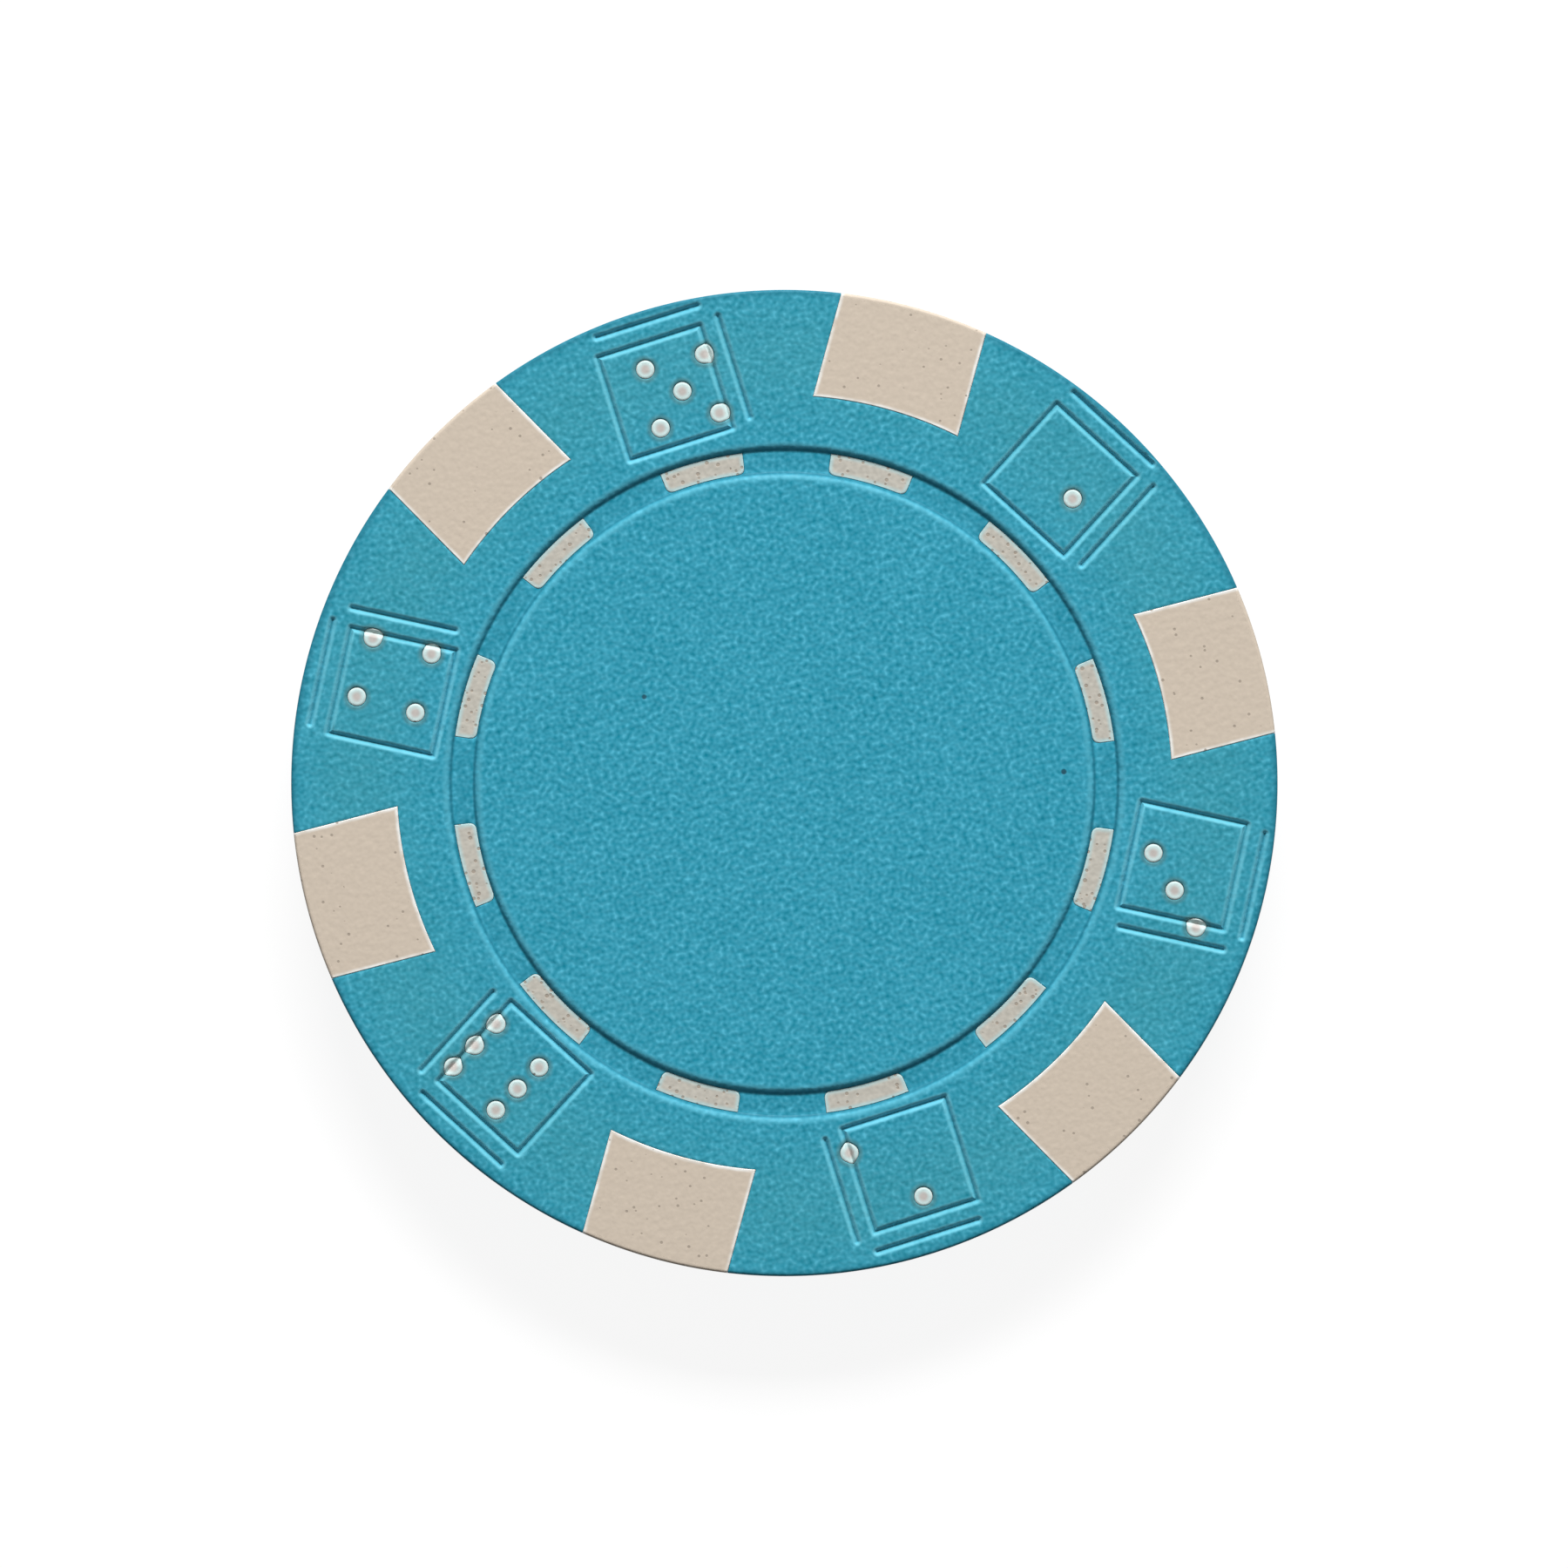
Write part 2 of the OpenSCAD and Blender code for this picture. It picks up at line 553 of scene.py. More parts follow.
class Graph:
    """Adds nodes to one tree."""

    def __init__(self, tree: bpy.types.NodeTree) -> None:
        """Wraps a tree and empties it."""
        self.tree = tree
        tree.nodes.clear()

    def node(self, kind: str, settings: Settings, sockets: Sockets) -> bpy.types.Node:
        """Adds one node.

        Args:
            kind: The node's type.
            settings: Properties of the node, set first.
            sockets: A value or a Wire for each input, by identifier, name or number.

        Returns:
            The node.
        """
        node = self.tree.nodes.new(kind)
        for key, value in settings.items():
            setattr(node, key, value)
        for key, value in sockets.items():
            target = self._input(node, key)
            if isinstance(value, Wire):
                self.tree.links.new(value.socket, target)
            else:
                target.default_value = value
        return node

    @staticmethod
    def _input(node: bpy.types.Node, key: Any) -> bpy.types.NodeSocket:
        """Finds one input of a node.

        Args:
            node: The node.
            key: The input's identifier, name or number.

        Returns:
            The input's socket.
        """
        if isinstance(key, int):
            return node.inputs[key]
        for socket in node.inputs:
            if socket.identifier == key:
                return socket
        return next(s for s in node.inputs if s.name == key and s.enabled)

    def out(self, kind: str, settings: Settings, sockets: Sockets, name: str = "") -> Wire:
        """Adds one node and takes one of its outputs.

        Args:
            kind: The node's type.
            settings: Properties of the node, set first.
            sockets: A value or a Wire for each input.
            name: Identifier or name of the output, or nothing for the first one in use.

        Returns:
            The output as a Wire.
        """
        node = self.node(kind, settings, sockets)
        shown = [s for s in node.outputs if s.enabled]
        named = [s for s in node.outputs if s.identifier == name]
        named += [s for s in shown if s.name == name]
        return Wire(self, named[0] if name else shown[0])

    def mix(self, factor: Any, first: Any, second: Any) -> Wire:
        """Mixes two colours.

        Args:
            factor: Share of the second colour.
            first: A colour or a Wire.
            second: A colour or a Wire.

        Returns:
            The mixed colour.
        """
        pair = [v if isinstance(v, Wire) else (*v, 1.0) for v in (first, second)]
        return self.out(
            "ShaderNodeMix",
            {"data_type": "RGBA"},
            {"Factor_Float": factor, "A_Color": pair[0], "B_Color": pair[1]},
            "Result_Color",
        )


class ShapeTree:
    """A Geometry Nodes tree with named inputs, which ends in real geometry with a material."""

    KINDS = {
        float: "NodeSocketFloat",
        int: "NodeSocketInt",
        bpy.types.Material: "NodeSocketMaterial",
    }

    def __init__(self, name: str, inputs: dict[str, Any]) -> None:
        """Starts a tree.

        Args:
            name: The tree's name.
            inputs: Value of each named input.
        """
        self.tree = bpy.data.node_groups.new(name, "GeometryNodeTree")
        self.graph = Graph(self.tree)
        self.values = inputs
        face = self.tree.interface
        face.new_socket("Geometry", in_out="INPUT", socket_type="NodeSocketGeometry")
        self.ids: dict[str, str] = {}
        for key, value in inputs.items():
            kind = next(k for t, k in self.KINDS.items() if isinstance(value, t))
            self.ids[key] = face.new_socket(key, in_out="INPUT", socket_type=kind).identifier
        face.new_socket("Geometry", in_out="OUTPUT", socket_type="NodeSocketGeometry")
        self.source = self.graph.node("NodeGroupInput", {}, {})

    def __getitem__(self, name: str) -> Wire:
        """The named input as a Wire."""
        return Wire(self.graph, self.source.outputs[name])

    def add(self, kind: str, settings: Settings, sockets: Sockets, name: str = "") -> Wire:
        """Adds one node and takes one of its outputs, as Graph.out does."""
        return self.graph.out(kind, settings, sockets, name)

    def position(self) -> list[Wire]:
        """Splits the position of each point.

        Returns:
            The x, y and z.
        """
        place = self.add("GeometryNodeInputPosition", {}, {})
        split = self.graph.node("ShaderNodeSeparateXYZ", {}, {0: place})
        return [Wire(self.graph, socket) for socket in split.outputs]

    def value(self, name: str) -> Wire:
        """Reads a named value of each point.

        Args:
            name: Name of the value.

        Returns:
            The value.
        """
        return self.add(
            "GeometryNodeInputNamedAttribute", {"data_type": "FLOAT"}, {"Name": name}, "Attribute"
        )

    def lifted(self, geometry: Wire) -> Wire:
        """Raises geometry that is built about the chip's middle plane, by the input Lift."""
        up = self.add("ShaderNodeCombineXYZ", {}, {"Z": self["Lift"]})
        return self.add("GeometryNodeTransform", {}, {"Geometry": geometry, "Translation": up})

    def both_faces(self, geometry: Wire) -> Wire:
        """Adds a copy turned over about the +X axis, for the chip's other face.

        Args:
            geometry: What lies on the upper face.

        Returns:
            The geometry of both faces.
        """
        turn = {"Geometry": geometry, "Rotation": (math.pi, 0.0, 0.0)}
        other = self.add("GeometryNodeTransform", {}, turn)
        join = self.graph.node("GeometryNodeJoinGeometry", {}, {"Geometry": geometry})
        self.tree.links.new(other.socket, join.inputs[0])
        return Wire(self.graph, join.outputs[0])

    def finish(self, geometry: Wire) -> None:
        """Ends the tree: instances become real, faces are smooth and get the material.

        Args:
            geometry: What the tree has made.
        """
        real = self.add("GeometryNodeRealizeInstances", {}, {"Geometry": geometry})
        smooth = self.add("GeometryNodeSetShadeSmooth", {}, {"Geometry": real})
        dressed = self.add(
            "GeometryNodeSetMaterial", {}, {"Geometry": smooth, "Material": self["Material"]}
        )
        self.graph.node("NodeGroupOutput", {}, {"Geometry": dressed})

    def apply(self, name: str, mesh: bpy.types.Mesh, crease: float) -> bpy.types.Object:
        """Runs the tree on a mesh and keeps the result as a plain mesh.

        Args:
            name: Name of the new piece.
            mesh: What goes into the tree.
            crease: Angle in degrees above which an edge stays sharp.

        Returns:
            The piece, without its modifier.
        """
        piece = bpy.data.objects.new(name, mesh)
        bpy.context.scene.collection.objects.link(piece)
        modifier = piece.modifiers.new(name, "NODES")
        modifier.node_group = self.tree
        for key, value in self.values.items():
            modifier[self.ids[key]] = value
        graph = bpy.context.evaluated_depsgraph_get()
        result = bpy.data.meshes.new_from_object(
            piece.evaluated_get(graph), preserve_all_data_layers=True, depsgraph=graph
        )
        piece.modifiers.remove(modifier)
        piece.data = result
        result.name = name
        result.set_sharp_from_angle(angle=math.radians(crease))
        bpy.data.meshes.remove(mesh)
        return piece


# Finishes


def new_material(name: str) -> tuple[bpy.types.Material, Graph]:
    """Starts a material.

    Args:
        name: Name of the material.

    Returns:
        The material and the emptied graph of its nodes.
    """
    material = bpy.data.materials.new(name)
    material.use_nodes = True
    return material, Graph(material.node_tree)


@dataclass(frozen=True)
class EdgeTint:
    """Change of colour in a band along an edge that a named value on the points measures."""

    gap: str
    at: float
    width: float
    colour: tuple[float, float, float]
    share: float
    patchy: float = 0.0

    def over(self, g: Graph, tone: Wire, patchiness: Wire) -> Wire:
        """Lays the tint over a colour.

        Args:
            g: The material's graph.
            tone: The colour away from the edge.
            patchiness: Cloudy values about 0, which make a patchy tint come and go.

        Returns:
            The tinted colour.
        """
        gap = g.out("ShaderNodeAttribute", {"attribute_name": self.gap}, {}, "Fac")
        near = (1 - abs(gap - self.at) / self.width).eased()
        return g.mix((near * self.share * (1 + patchiness * self.patchy)).held(), tone, self.colour)


@dataclass(frozen=True)
class MouldedPlastic:
    """Plastic as the mould leaves it: blasted grain, mottling, specks and tinted edges, with
    painted glints.
    """

    name: str
    colour: tuple[float, float, float]
    grain: float
    mottle: float
    speck: tuple[float, float, float]
    speck_size: float
    speck_share: float
    tints: tuple[EdgeTint, ...]
    sparkle: float = 0.0
    glint: float = 0.0
    speck_spread: float = 9.0
    grain_size: float = 0.28
    fleck_size: float = 0.175
    patch_size: float = 1.9
    patchiness_size: float = 0.7
    roughness: float = 0.5
    gloss: float = 0.12
    patch_share: float = 0.2
    contrast: float = 0.25
    rough_swing: float = 0.3
    glint_gain: float = 1.5
    glint_lift: float = 0.09
    glint_from: float = 0.13
    glint_edge: float = 5.0
    speck_cover: float = 0.85
    speck_pit: float = 0.5
    speck_least: float = 0.4
    speck_edge: float = 3.0

    def material(self) -> bpy.types.Material:
        """Builds the material.

        Returns:
            The material, which reads Object coordinates and the piece's own edge values.
        """
        material, g = new_material(self.name)
        place = g.out("ShaderNodeTexCoord", {}, {}, "Object")

        def noise(size: float, detail: float) -> Wire:
            """Cloudy values whose features are about this many millimetres across."""
            sockets = {"Vector": place, "Scale": 1 / (size * MM), "Detail": detail}
            return g.out("ShaderNodeTexNoise", {}, sockets, "Fac") - 0.5

        grain, patch = noise(self.grain_size, 1.0), noise(self.patch_size, 2.0)
        fleck = noise(self.fleck_size, 0.0)
        speck = self.specks(g, place)
        shade = 0.5 + (fleck + patch * self.patch_share) * self.mottle
        # sparkle pushes the light end of the mottling towards white and the dark end towards black:
        # painted sparkle of the grain, on top of its random tone.
        dark = tuple(max(0.0, c * (1 - self.contrast) - self.sparkle) for c in self.colour)
        light = tuple(min(1.0, c * (1 + self.contrast) + self.sparkle) for c in self.colour)
        tone = g.mix(shade.held(), dark, light)
        # Painted glints: the brightest flecks are lightened towards white in the base colour,
        # standing for sparkle highlights off the blasted grain.
        if self.glint:
            bright = tuple(min(1.0, c * self.glint_gain + self.glint_lift) for c in self.colour)
            strong = ((fleck - self.glint_from) * self.glint_edge).held()
            tone = g.mix(strong * self.glint, tone, bright)
        # Cloudy noise that makes some edge tints patchy, the painted highlights among them.
        patchiness = noise(self.patchiness_size, 2.0)
        # Edge tints: some are the plastic's own colour, others painted shade in hollows or painted
        # highlights on shoulders.
        for tint in self.tints:
            tone = tint.over(g, tone, patchiness)
        tone = g.mix(speck * self.speck_cover, tone, self.speck)
        height = grain - speck * self.speck_pit
        bump = {"Strength": 1.0, "Distance": self.grain * MM, "Height": height}
        sockets = {
            "Base Color": tone,
            "Roughness": self.roughness + grain * self.rough_swing,
            "Normal": g.out("ShaderNodeBump", {}, bump),
            "Specular IOR Level": self.gloss,
        }
        shader = g.out("ShaderNodeBsdfPrincipled", {}, sockets)
        g.node("ShaderNodeOutputMaterial", {}, {"Surface": shader})
        return material

    def specks(self, g: Graph, place: Wire) -> Wire:
        """Small dark specks of dirt, 1 in their middle and 0 between them.

        Args:
            g: The material's graph.
            place: Coordinates of the piece.

        Returns:
            The strength of the specks.
        """
        cells = {"Vector": place, "Scale": 1 / (self.speck_size * self.speck_spread * MM)}
        cell = g.node("ShaderNodeTexVoronoi", {}, cells)
        colour = {"Color": Wire(g, cell.outputs["Color"])}
        chance = g.out("ShaderNodeSeparateColor", {}, colour, "Red")
        away = Wire(g, cell.outputs["Distance"]) * self.speck_spread
        core = 1 - away / (self.speck_least + chance)
        return (core * self.speck_edge).held() * chance.over(1 - self.speck_share)


@dataclass(frozen=True)
class StampedSteel:
    """Sheet steel with a rolled grain."""

    name: str
    colour: tuple[float, float, float]
    stretch: tuple[float, float, float] = (300.0, 9000.0, 9000.0)
    dark_share: float = 0.75
    roughness: float = 0.3
    rough_swing: float = 0.25
    bump_strength: float = 0.4
    bump_depth: float = 0.01

    def material(self) -> bpy.types.Material:
        """Builds the material.

        Returns:
            The material, which reads Object coordinates.
        """
        material, g = new_material(self.name)
        place = g.out("ShaderNodeTexCoord", {}, {}, "Object")
        along = g.out("ShaderNodeMapping", {}, {"Vector": place, "Scale": self.stretch})
        noise = {"Vector": along, "Scale": 1.0, "Detail": 3.0}
        rolled = g.out("ShaderNodeTexNoise", {}, noise, "Fac")
        tone = g.mix(rolled, tuple(c * self.dark_share for c in self.colour), self.colour)
        depth = self.bump_depth * MM
        bump = {"Strength": self.bump_strength, "Distance": depth, "Height": rolled}
        sockets = {
            "Base Color": tone,
            "Metallic": 1.0,
            "Roughness": self.roughness + rolled * self.rough_swing,
            "Normal": g.out("ShaderNodeBump", {}, bump),
        }
        shader = g.out("ShaderNodeBsdfPrincipled", {}, sockets)
        g.node("ShaderNodeOutputMaterial", {}, {"Surface": shader})
        return material


# Sub-assemblies


@dataclass
class EdgeSpots:
    """Ivory edge spots, which run through the chip from face to face."""

    sizes: ChipSizes
    rim_levels: tuple[float, ...] = (0.0, 18.0, 36.0, 54.0, 72.0, 90.0)
    pitch: float = 0.4
    edge_round: float = 0.03
    edge_steps: tuple[float, ...] = (0.03, 0.066, 0.12, 0.19, 0.3)
    rim_margin: float = 0.06
    mouth_steps: int = 20
    end_steps: int = 9
    crease: float = 40.0

    def rim_radii(self) -> list[float]:
        """Radii at which the rounding of the rim is meshed."""
        s = self.sizes
        return [s.radius - s.rim_round * (1 - math.sin(math.radians(a))) for a in self.rim_levels]

    def rim_drop(self, radius: Points) -> Points:
        """How far the rounded rim lies below the face.

        Args:
            radius: Distances from the chip's axis.

        Returns:
            One depth for each distance.
        """
        s = self.sizes
        t = np.clip((radius - s.radius + s.rim_round) / s.rim_round, 0, 1)
        return s.rim_round * (1 - np.sqrt(1 - t * t))

    def outline(self, grow: float) -> Points:
        """Sides and inner end of a spot's outline, from rim to rim, about the +X axis.

        Args:
            grow: How far the outline is pushed outwards from the spot's true size.

        Returns:
            The points, from the rim on the upper side to the rim on the lower one.
        """
        s = self.sizes
        half, inner = s.spot_width / 2 + grow, s.spot_inner - grow
        corner = math.degrees(math.asin(half / inner))
        end = arc(inner, 0, corner, self.end_steps)
        side_x = [math.sqrt(r * r - half * half) for r in self.rim_radii()]
        start_x = float(end[-1][0])
        steps = max(1, math.ceil((side_x[0] - start_x) / self.pitch))
        xs = list(start_x + (side_x[0] - start_x) * np.arange(1, steps) / steps) + side_x
        upper = np.vstack([end, [(x, half) for x in xs]])
        return np.vstack([upper[::-1], upper[1:] * (1, -1)])

    def gap(self, points: Points, grow: float = 0.0) -> Points:
        """Signed distance from points to a spot's sides and inner end, above 0 inside.

        Args:
            points: Points in the plane, with the spot about the +X axis.
            grow: How far the outline is pushed outwards.

        Returns:
            One distance for each point.
        """
        s = self.sizes
        side = s.spot_width / 2 + grow - np.abs(points[:, 1])
        reach = np.linalg.norm(points, axis=1) - s.spot_inner + grow
        end = np.where(points[:, 0] > 0, reach, -Shell.FAR)
        return corner_distance(side, end)

    def build(self, material: bpy.types.Material) -> bpy.types.Object:
        """Makes the spots.

        Args:
            material: Finish of the spots.

        Returns:
            One piece with all the spots.
        """
        s = self.sizes
        plan = Plan()
        mouth = math.degrees(math.asin(s.spot_width / 2 / s.radius))
        rim = arc(s.radius, -mouth, mouth, self.mouth_steps)[1:-1]
        border = np.vstack([self.outline(0.0), rim])
        plan.line(border, closed=True)
        for step in self.edge_steps:
            plan.line(self.outline(-step))
        for r in [*self.rim_radii()[:-1], s.radius - s.rim_round - self.rim_margin]:
            turn = math.degrees(math.asin(s.spot_width / 2 / r))
            plan.line(arc(r, -turn, turn, self.mouth_steps))
        pts, tris = plan.triangles()
        tris = tris[inside(pts[tris].mean(axis=1), border)]
        gap = np.maximum(self.gap(pts), 0)
        top = s.half - self.rim_drop(np.linalg.norm(pts, axis=1))
        top = top - self.edge_round * np.clip(1 - gap / self.edge_round, 0, 1) ** 2
        mesh = prism(pts, tris, top, -top, edge_gap=gap).mesh("edge_spot")
        tree = ring_array("ring_of_spots", s, s.sectors, material, False)
        return tree.apply("edge_spots", mesh, self.crease)


@dataclass
class RingDashes:
    """Ivory dashes that lie flush in the floor of the ring groove."""

    sizes: ChipSizes
    corner: float = 0.3
    edge_round: float = 0.02
    thickness: float = 0.28
    edge_steps: tuple[float, ...] = (0.02, 0.05, 0.1, 0.17, 0.24)
    far_steps: int = 16
    near_steps: int = 12
    corner_steps: int = 6
    crease: float = 40.0

    def half_angle(self) -> float:
        """Angle from a dash's middle to its end, in degrees."""
        return math.degrees(self.sizes.dash_length / 2 / self.sizes.ring_radius)

    def outline(self, across: float, along: float) -> Points:
        """Outline of the dash about the +X axis, with rounded inner corners.

        Args:
            across: How far the long sides are pushed outwards.
            along: How far the ends are pushed outwards.

        Returns:
            The points, counter-clockwise.
        """
        s = self.sizes
        inner = s.ring_radius - s.dash_width / 2 - across
        outer = s.ring_radius + s.dash_width / 2 + across
        turn = self.half_angle() + math.degrees(along / s.ring_radius)
        tip = math.degrees(self.corner / inner)
        far = arc(outer, -turn, turn, self.far_steps)
        near = arc(inner, turn - tip, -turn + tip, self.near_steps)
        ends: list[Points] = []
        for sign in (1, -1):
            a = arc(inner + self.corner, sign * turn, sign * turn, 1)[0]
            c = arc(inner, sign * turn, sign * turn, 1)[0]
            b = arc(inner, sign * (turn - tip), sign * (turn - tip), 1)[0]
            t = np.linspace(0, 1, self.corner_steps + 1)[:-1, None]
            ends.append((1 - t) ** 2 * a + 2 * t * (1 - t) * c + t * t * b)
        return np.vstack([far, ends[0], near, ends[1][::-1]])

    def gap(self, points: Points) -> Points:
        """Signed distance from points to a dash's edge, above 0 inside.

        Args:
            points: Points in the plane, with the dash about the +X axis.

        Returns:
            One distance for each point.
        """
        s = self.sizes
        radius = np.linalg.norm(points, axis=1)
        turn = np.degrees(np.arctan2(points[:, 1], points[:, 0]))
        side = s.dash_width / 2 - np.abs(radius - s.ring_radius)
        end = np.radians(self.half_angle() - np.abs(turn)) * s.ring_radius
        return corner_distance(side, end)

    def build(self, material: bpy.types.Material) -> bpy.types.Object:
        """Makes the dashes.

        Args:
            material: Finish of the dashes.

        Returns:
            One piece with the dashes of both faces.
        """
        s = self.sizes
        plan = Plan()
        border = self.outline(0.0, 0.0)
        plan.line(border, closed=True)
        for step in self.edge_steps:
            plan.line(self.outline(-step, -step), closed=True)
        pts, tris = plan.triangles()
        tris = tris[inside(pts[tris].mean(axis=1), border)]
        edge = np.vstack([border, border[:1]])
        gap = distance_to_lines(pts, np.stack([edge[:-1], edge[1:]], axis=1))
        floor = s.half - s.ring_depth
        top = floor - self.edge_round * np.clip(1 - gap / self.edge_round, 0, 1) ** 2
        bottom = np.full(len(pts), floor - self.thickness)
        mesh = prism(pts, tris, top, bottom, edge_gap=gap).mesh("ring_dash")
        tree = ring_array("ring_of_dashes", s, s.dashes, material, True)
        return tree.apply("ring_dashes", mesh, self.crease)


def ring_array(
    name: str, sizes: ChipSizes, count: int, material: bpy.types.Material, twice: bool
) -> ShapeTree:
    """A tree that repeats what it gets round the chip's axis.

    Args:
        name: Name of the tree.
        sizes: Sizes of the chip.
        count: Number of copies.
        material: Finish of the copies.
        twice: Whether the lower face gets the same copies, turned over.

    Returns:
        The tree.
    """
    tree = ShapeTree(name, {"Count": count, "Lift": sizes.half * MM, "Material": material})
    points = tree.add("GeometryNodePoints", {}, {"Count": tree["Count"]})
    index = tree.add("GeometryNodeInputIndex", {}, {})
    angle = tree.add("ShaderNodeCombineXYZ", {}, {"Z": index * math.tau / tree["Count"]})
    copies = tree.add(
        "GeometryNodeInstanceOnPoints",
        {},
        {"Points": points, "Instance": tree["Geometry"], "Rotation": angle},
    )
    if twice:
        copies = tree.both_faces(copies)
    tree.finish(tree.lifted(copies))
    return tree


@dataclass
class DiceLines:
    """Engraved outlines of the six dice: a square each, and two lines that make it a cube."""

    sizes: ChipSizes
    bend: float = 0.6
    stroke_trim: float = 0.03

    def die_angle(self, number: int) -> float:
        """Angle of a die's middle from the +X axis, in degrees."""
        return (number + 0.5) * self.sizes.sector_angle

    def shift(self, degrees: float = 0.0) -> Points:
        """How far the outlines sit off the chip's axis, seen in a frame turned by this angle."""
        s = self.sizes
        return turned(np.array([[s.outline_shift, 0.0]]), s.outline_shift_angle - degrees)[0]

    def place(self, points: Points, number: int) -> Points:
        """Moves points from a die's own middle to its place on the upper face.

        Args:
            points: Points with x towards the rim and y counter-clockwise.
            number: Place of the die round the chip.

        Returns:
            The points on the face, with the outlines' lead and shift.
        """
        s = self.sizes
        angle = self.die_angle(number) + s.die_lead
        return turned(np.asarray(points, float) + (s.die_radius, 0), angle) + self.shift()

    def strokes(self) -> list[tuple[Points, float, float]]:
        """The two lines that make a square a cube.

        Returns:
            For each line its middle, and its half lengths along x and y.
        """
        s = self.sizes
        reach, length = s.die_side / 2 + s.cube_gap, s.die_side / 2 - self.stroke_trim
        return [
            (np.array([reach, -s.cube_slide]), 0.0, length),
            (np.array([s.cube_slide, -reach]), length, 0.0),
        ]

    def segments(self) -> Points:
        """All the engraved lines of the upper face.

        Returns:
            An array of start and end points, shaped (count, 2, 2).
        """
        half = self.sizes.die_side / 2
        found: list[Points] = []
        corners = np.array([(half, half), (-half, half), (-half, -half), (half, -half)])
        for number in range(self.sizes.sectors):
            square = self.place(corners, number)
            found += [np.stack(pair) for pair in zip(square, np.roll(square, -1, axis=0))]
            for middle, along_x, along_y in self.strokes():
                step = np.array([along_x, along_y])
                found.append(self.place(np.stack([middle - step, middle + step]), number))
        return np.stack(found)

    def flare_share(self, points: Points) -> Points:
        """How strongly a pip flares at points of the face.

        Args:
            points: Points in the plane.

        Returns:
            One share for each point, 1 on an engraved line and 0 beside it.
        """
        gap = distance_to_lines(points, self.segments())
        t = np.clip(1 - gap * 2 / self.sizes.line_width, 0, 1)
        return t * t * (3 - 2 * t)

    def inputs(self, number: int) -> dict[str, float]:
        """Values that a tree needs to find the square of one die from the die's own middle.

        Args:
            number: Place of the die round the chip.

        Returns:
            The tree's inputs by name.
        """
        s = self.sizes
        shift = self.shift(self.die_angle(number))
        return {
            "Line Lead": math.radians(s.die_lead),
            "Line Shift X": float(shift[0]) * MM,
            "Line Shift Y": float(shift[1]) * MM,
            "Half Side": s.die_side / 2 * MM,
            "Line Width": s.line_width * MM,
            "Line Depth": s.line_depth * MM,
            "Line Bend": self.bend,
        }

    def rule(self, tree: ShapeTree, x: Wire, y: Wire) -> Wire:
        """How near a place is to a line, as a rule in a tree, for the square of one die.

        Args:
            tree: The tree, whose inputs hold the values above and the Die Radius.
            x: Distance towards the rim from the die's own middle.
            y: Distance counter-clockwise from the die's own middle.

        Returns:
            The nearness, 1 in the middle of a line and 0 or less beside it.
        """
        out, over = x + tree["Die Radius"] - tree["Line Shift X"], y - tree["Line Shift Y"]
        lead = tree["Line Lead"]
        u = lead.cosine() * out + lead.sine() * over - tree["Die Radius"]
        v = lead.cosine() * over - lead.sine() * out
        gap = abs(abs(u).most(abs(v)) - tree["Half Side"])
        return 1 - gap * 2 / tree["Line Width"]


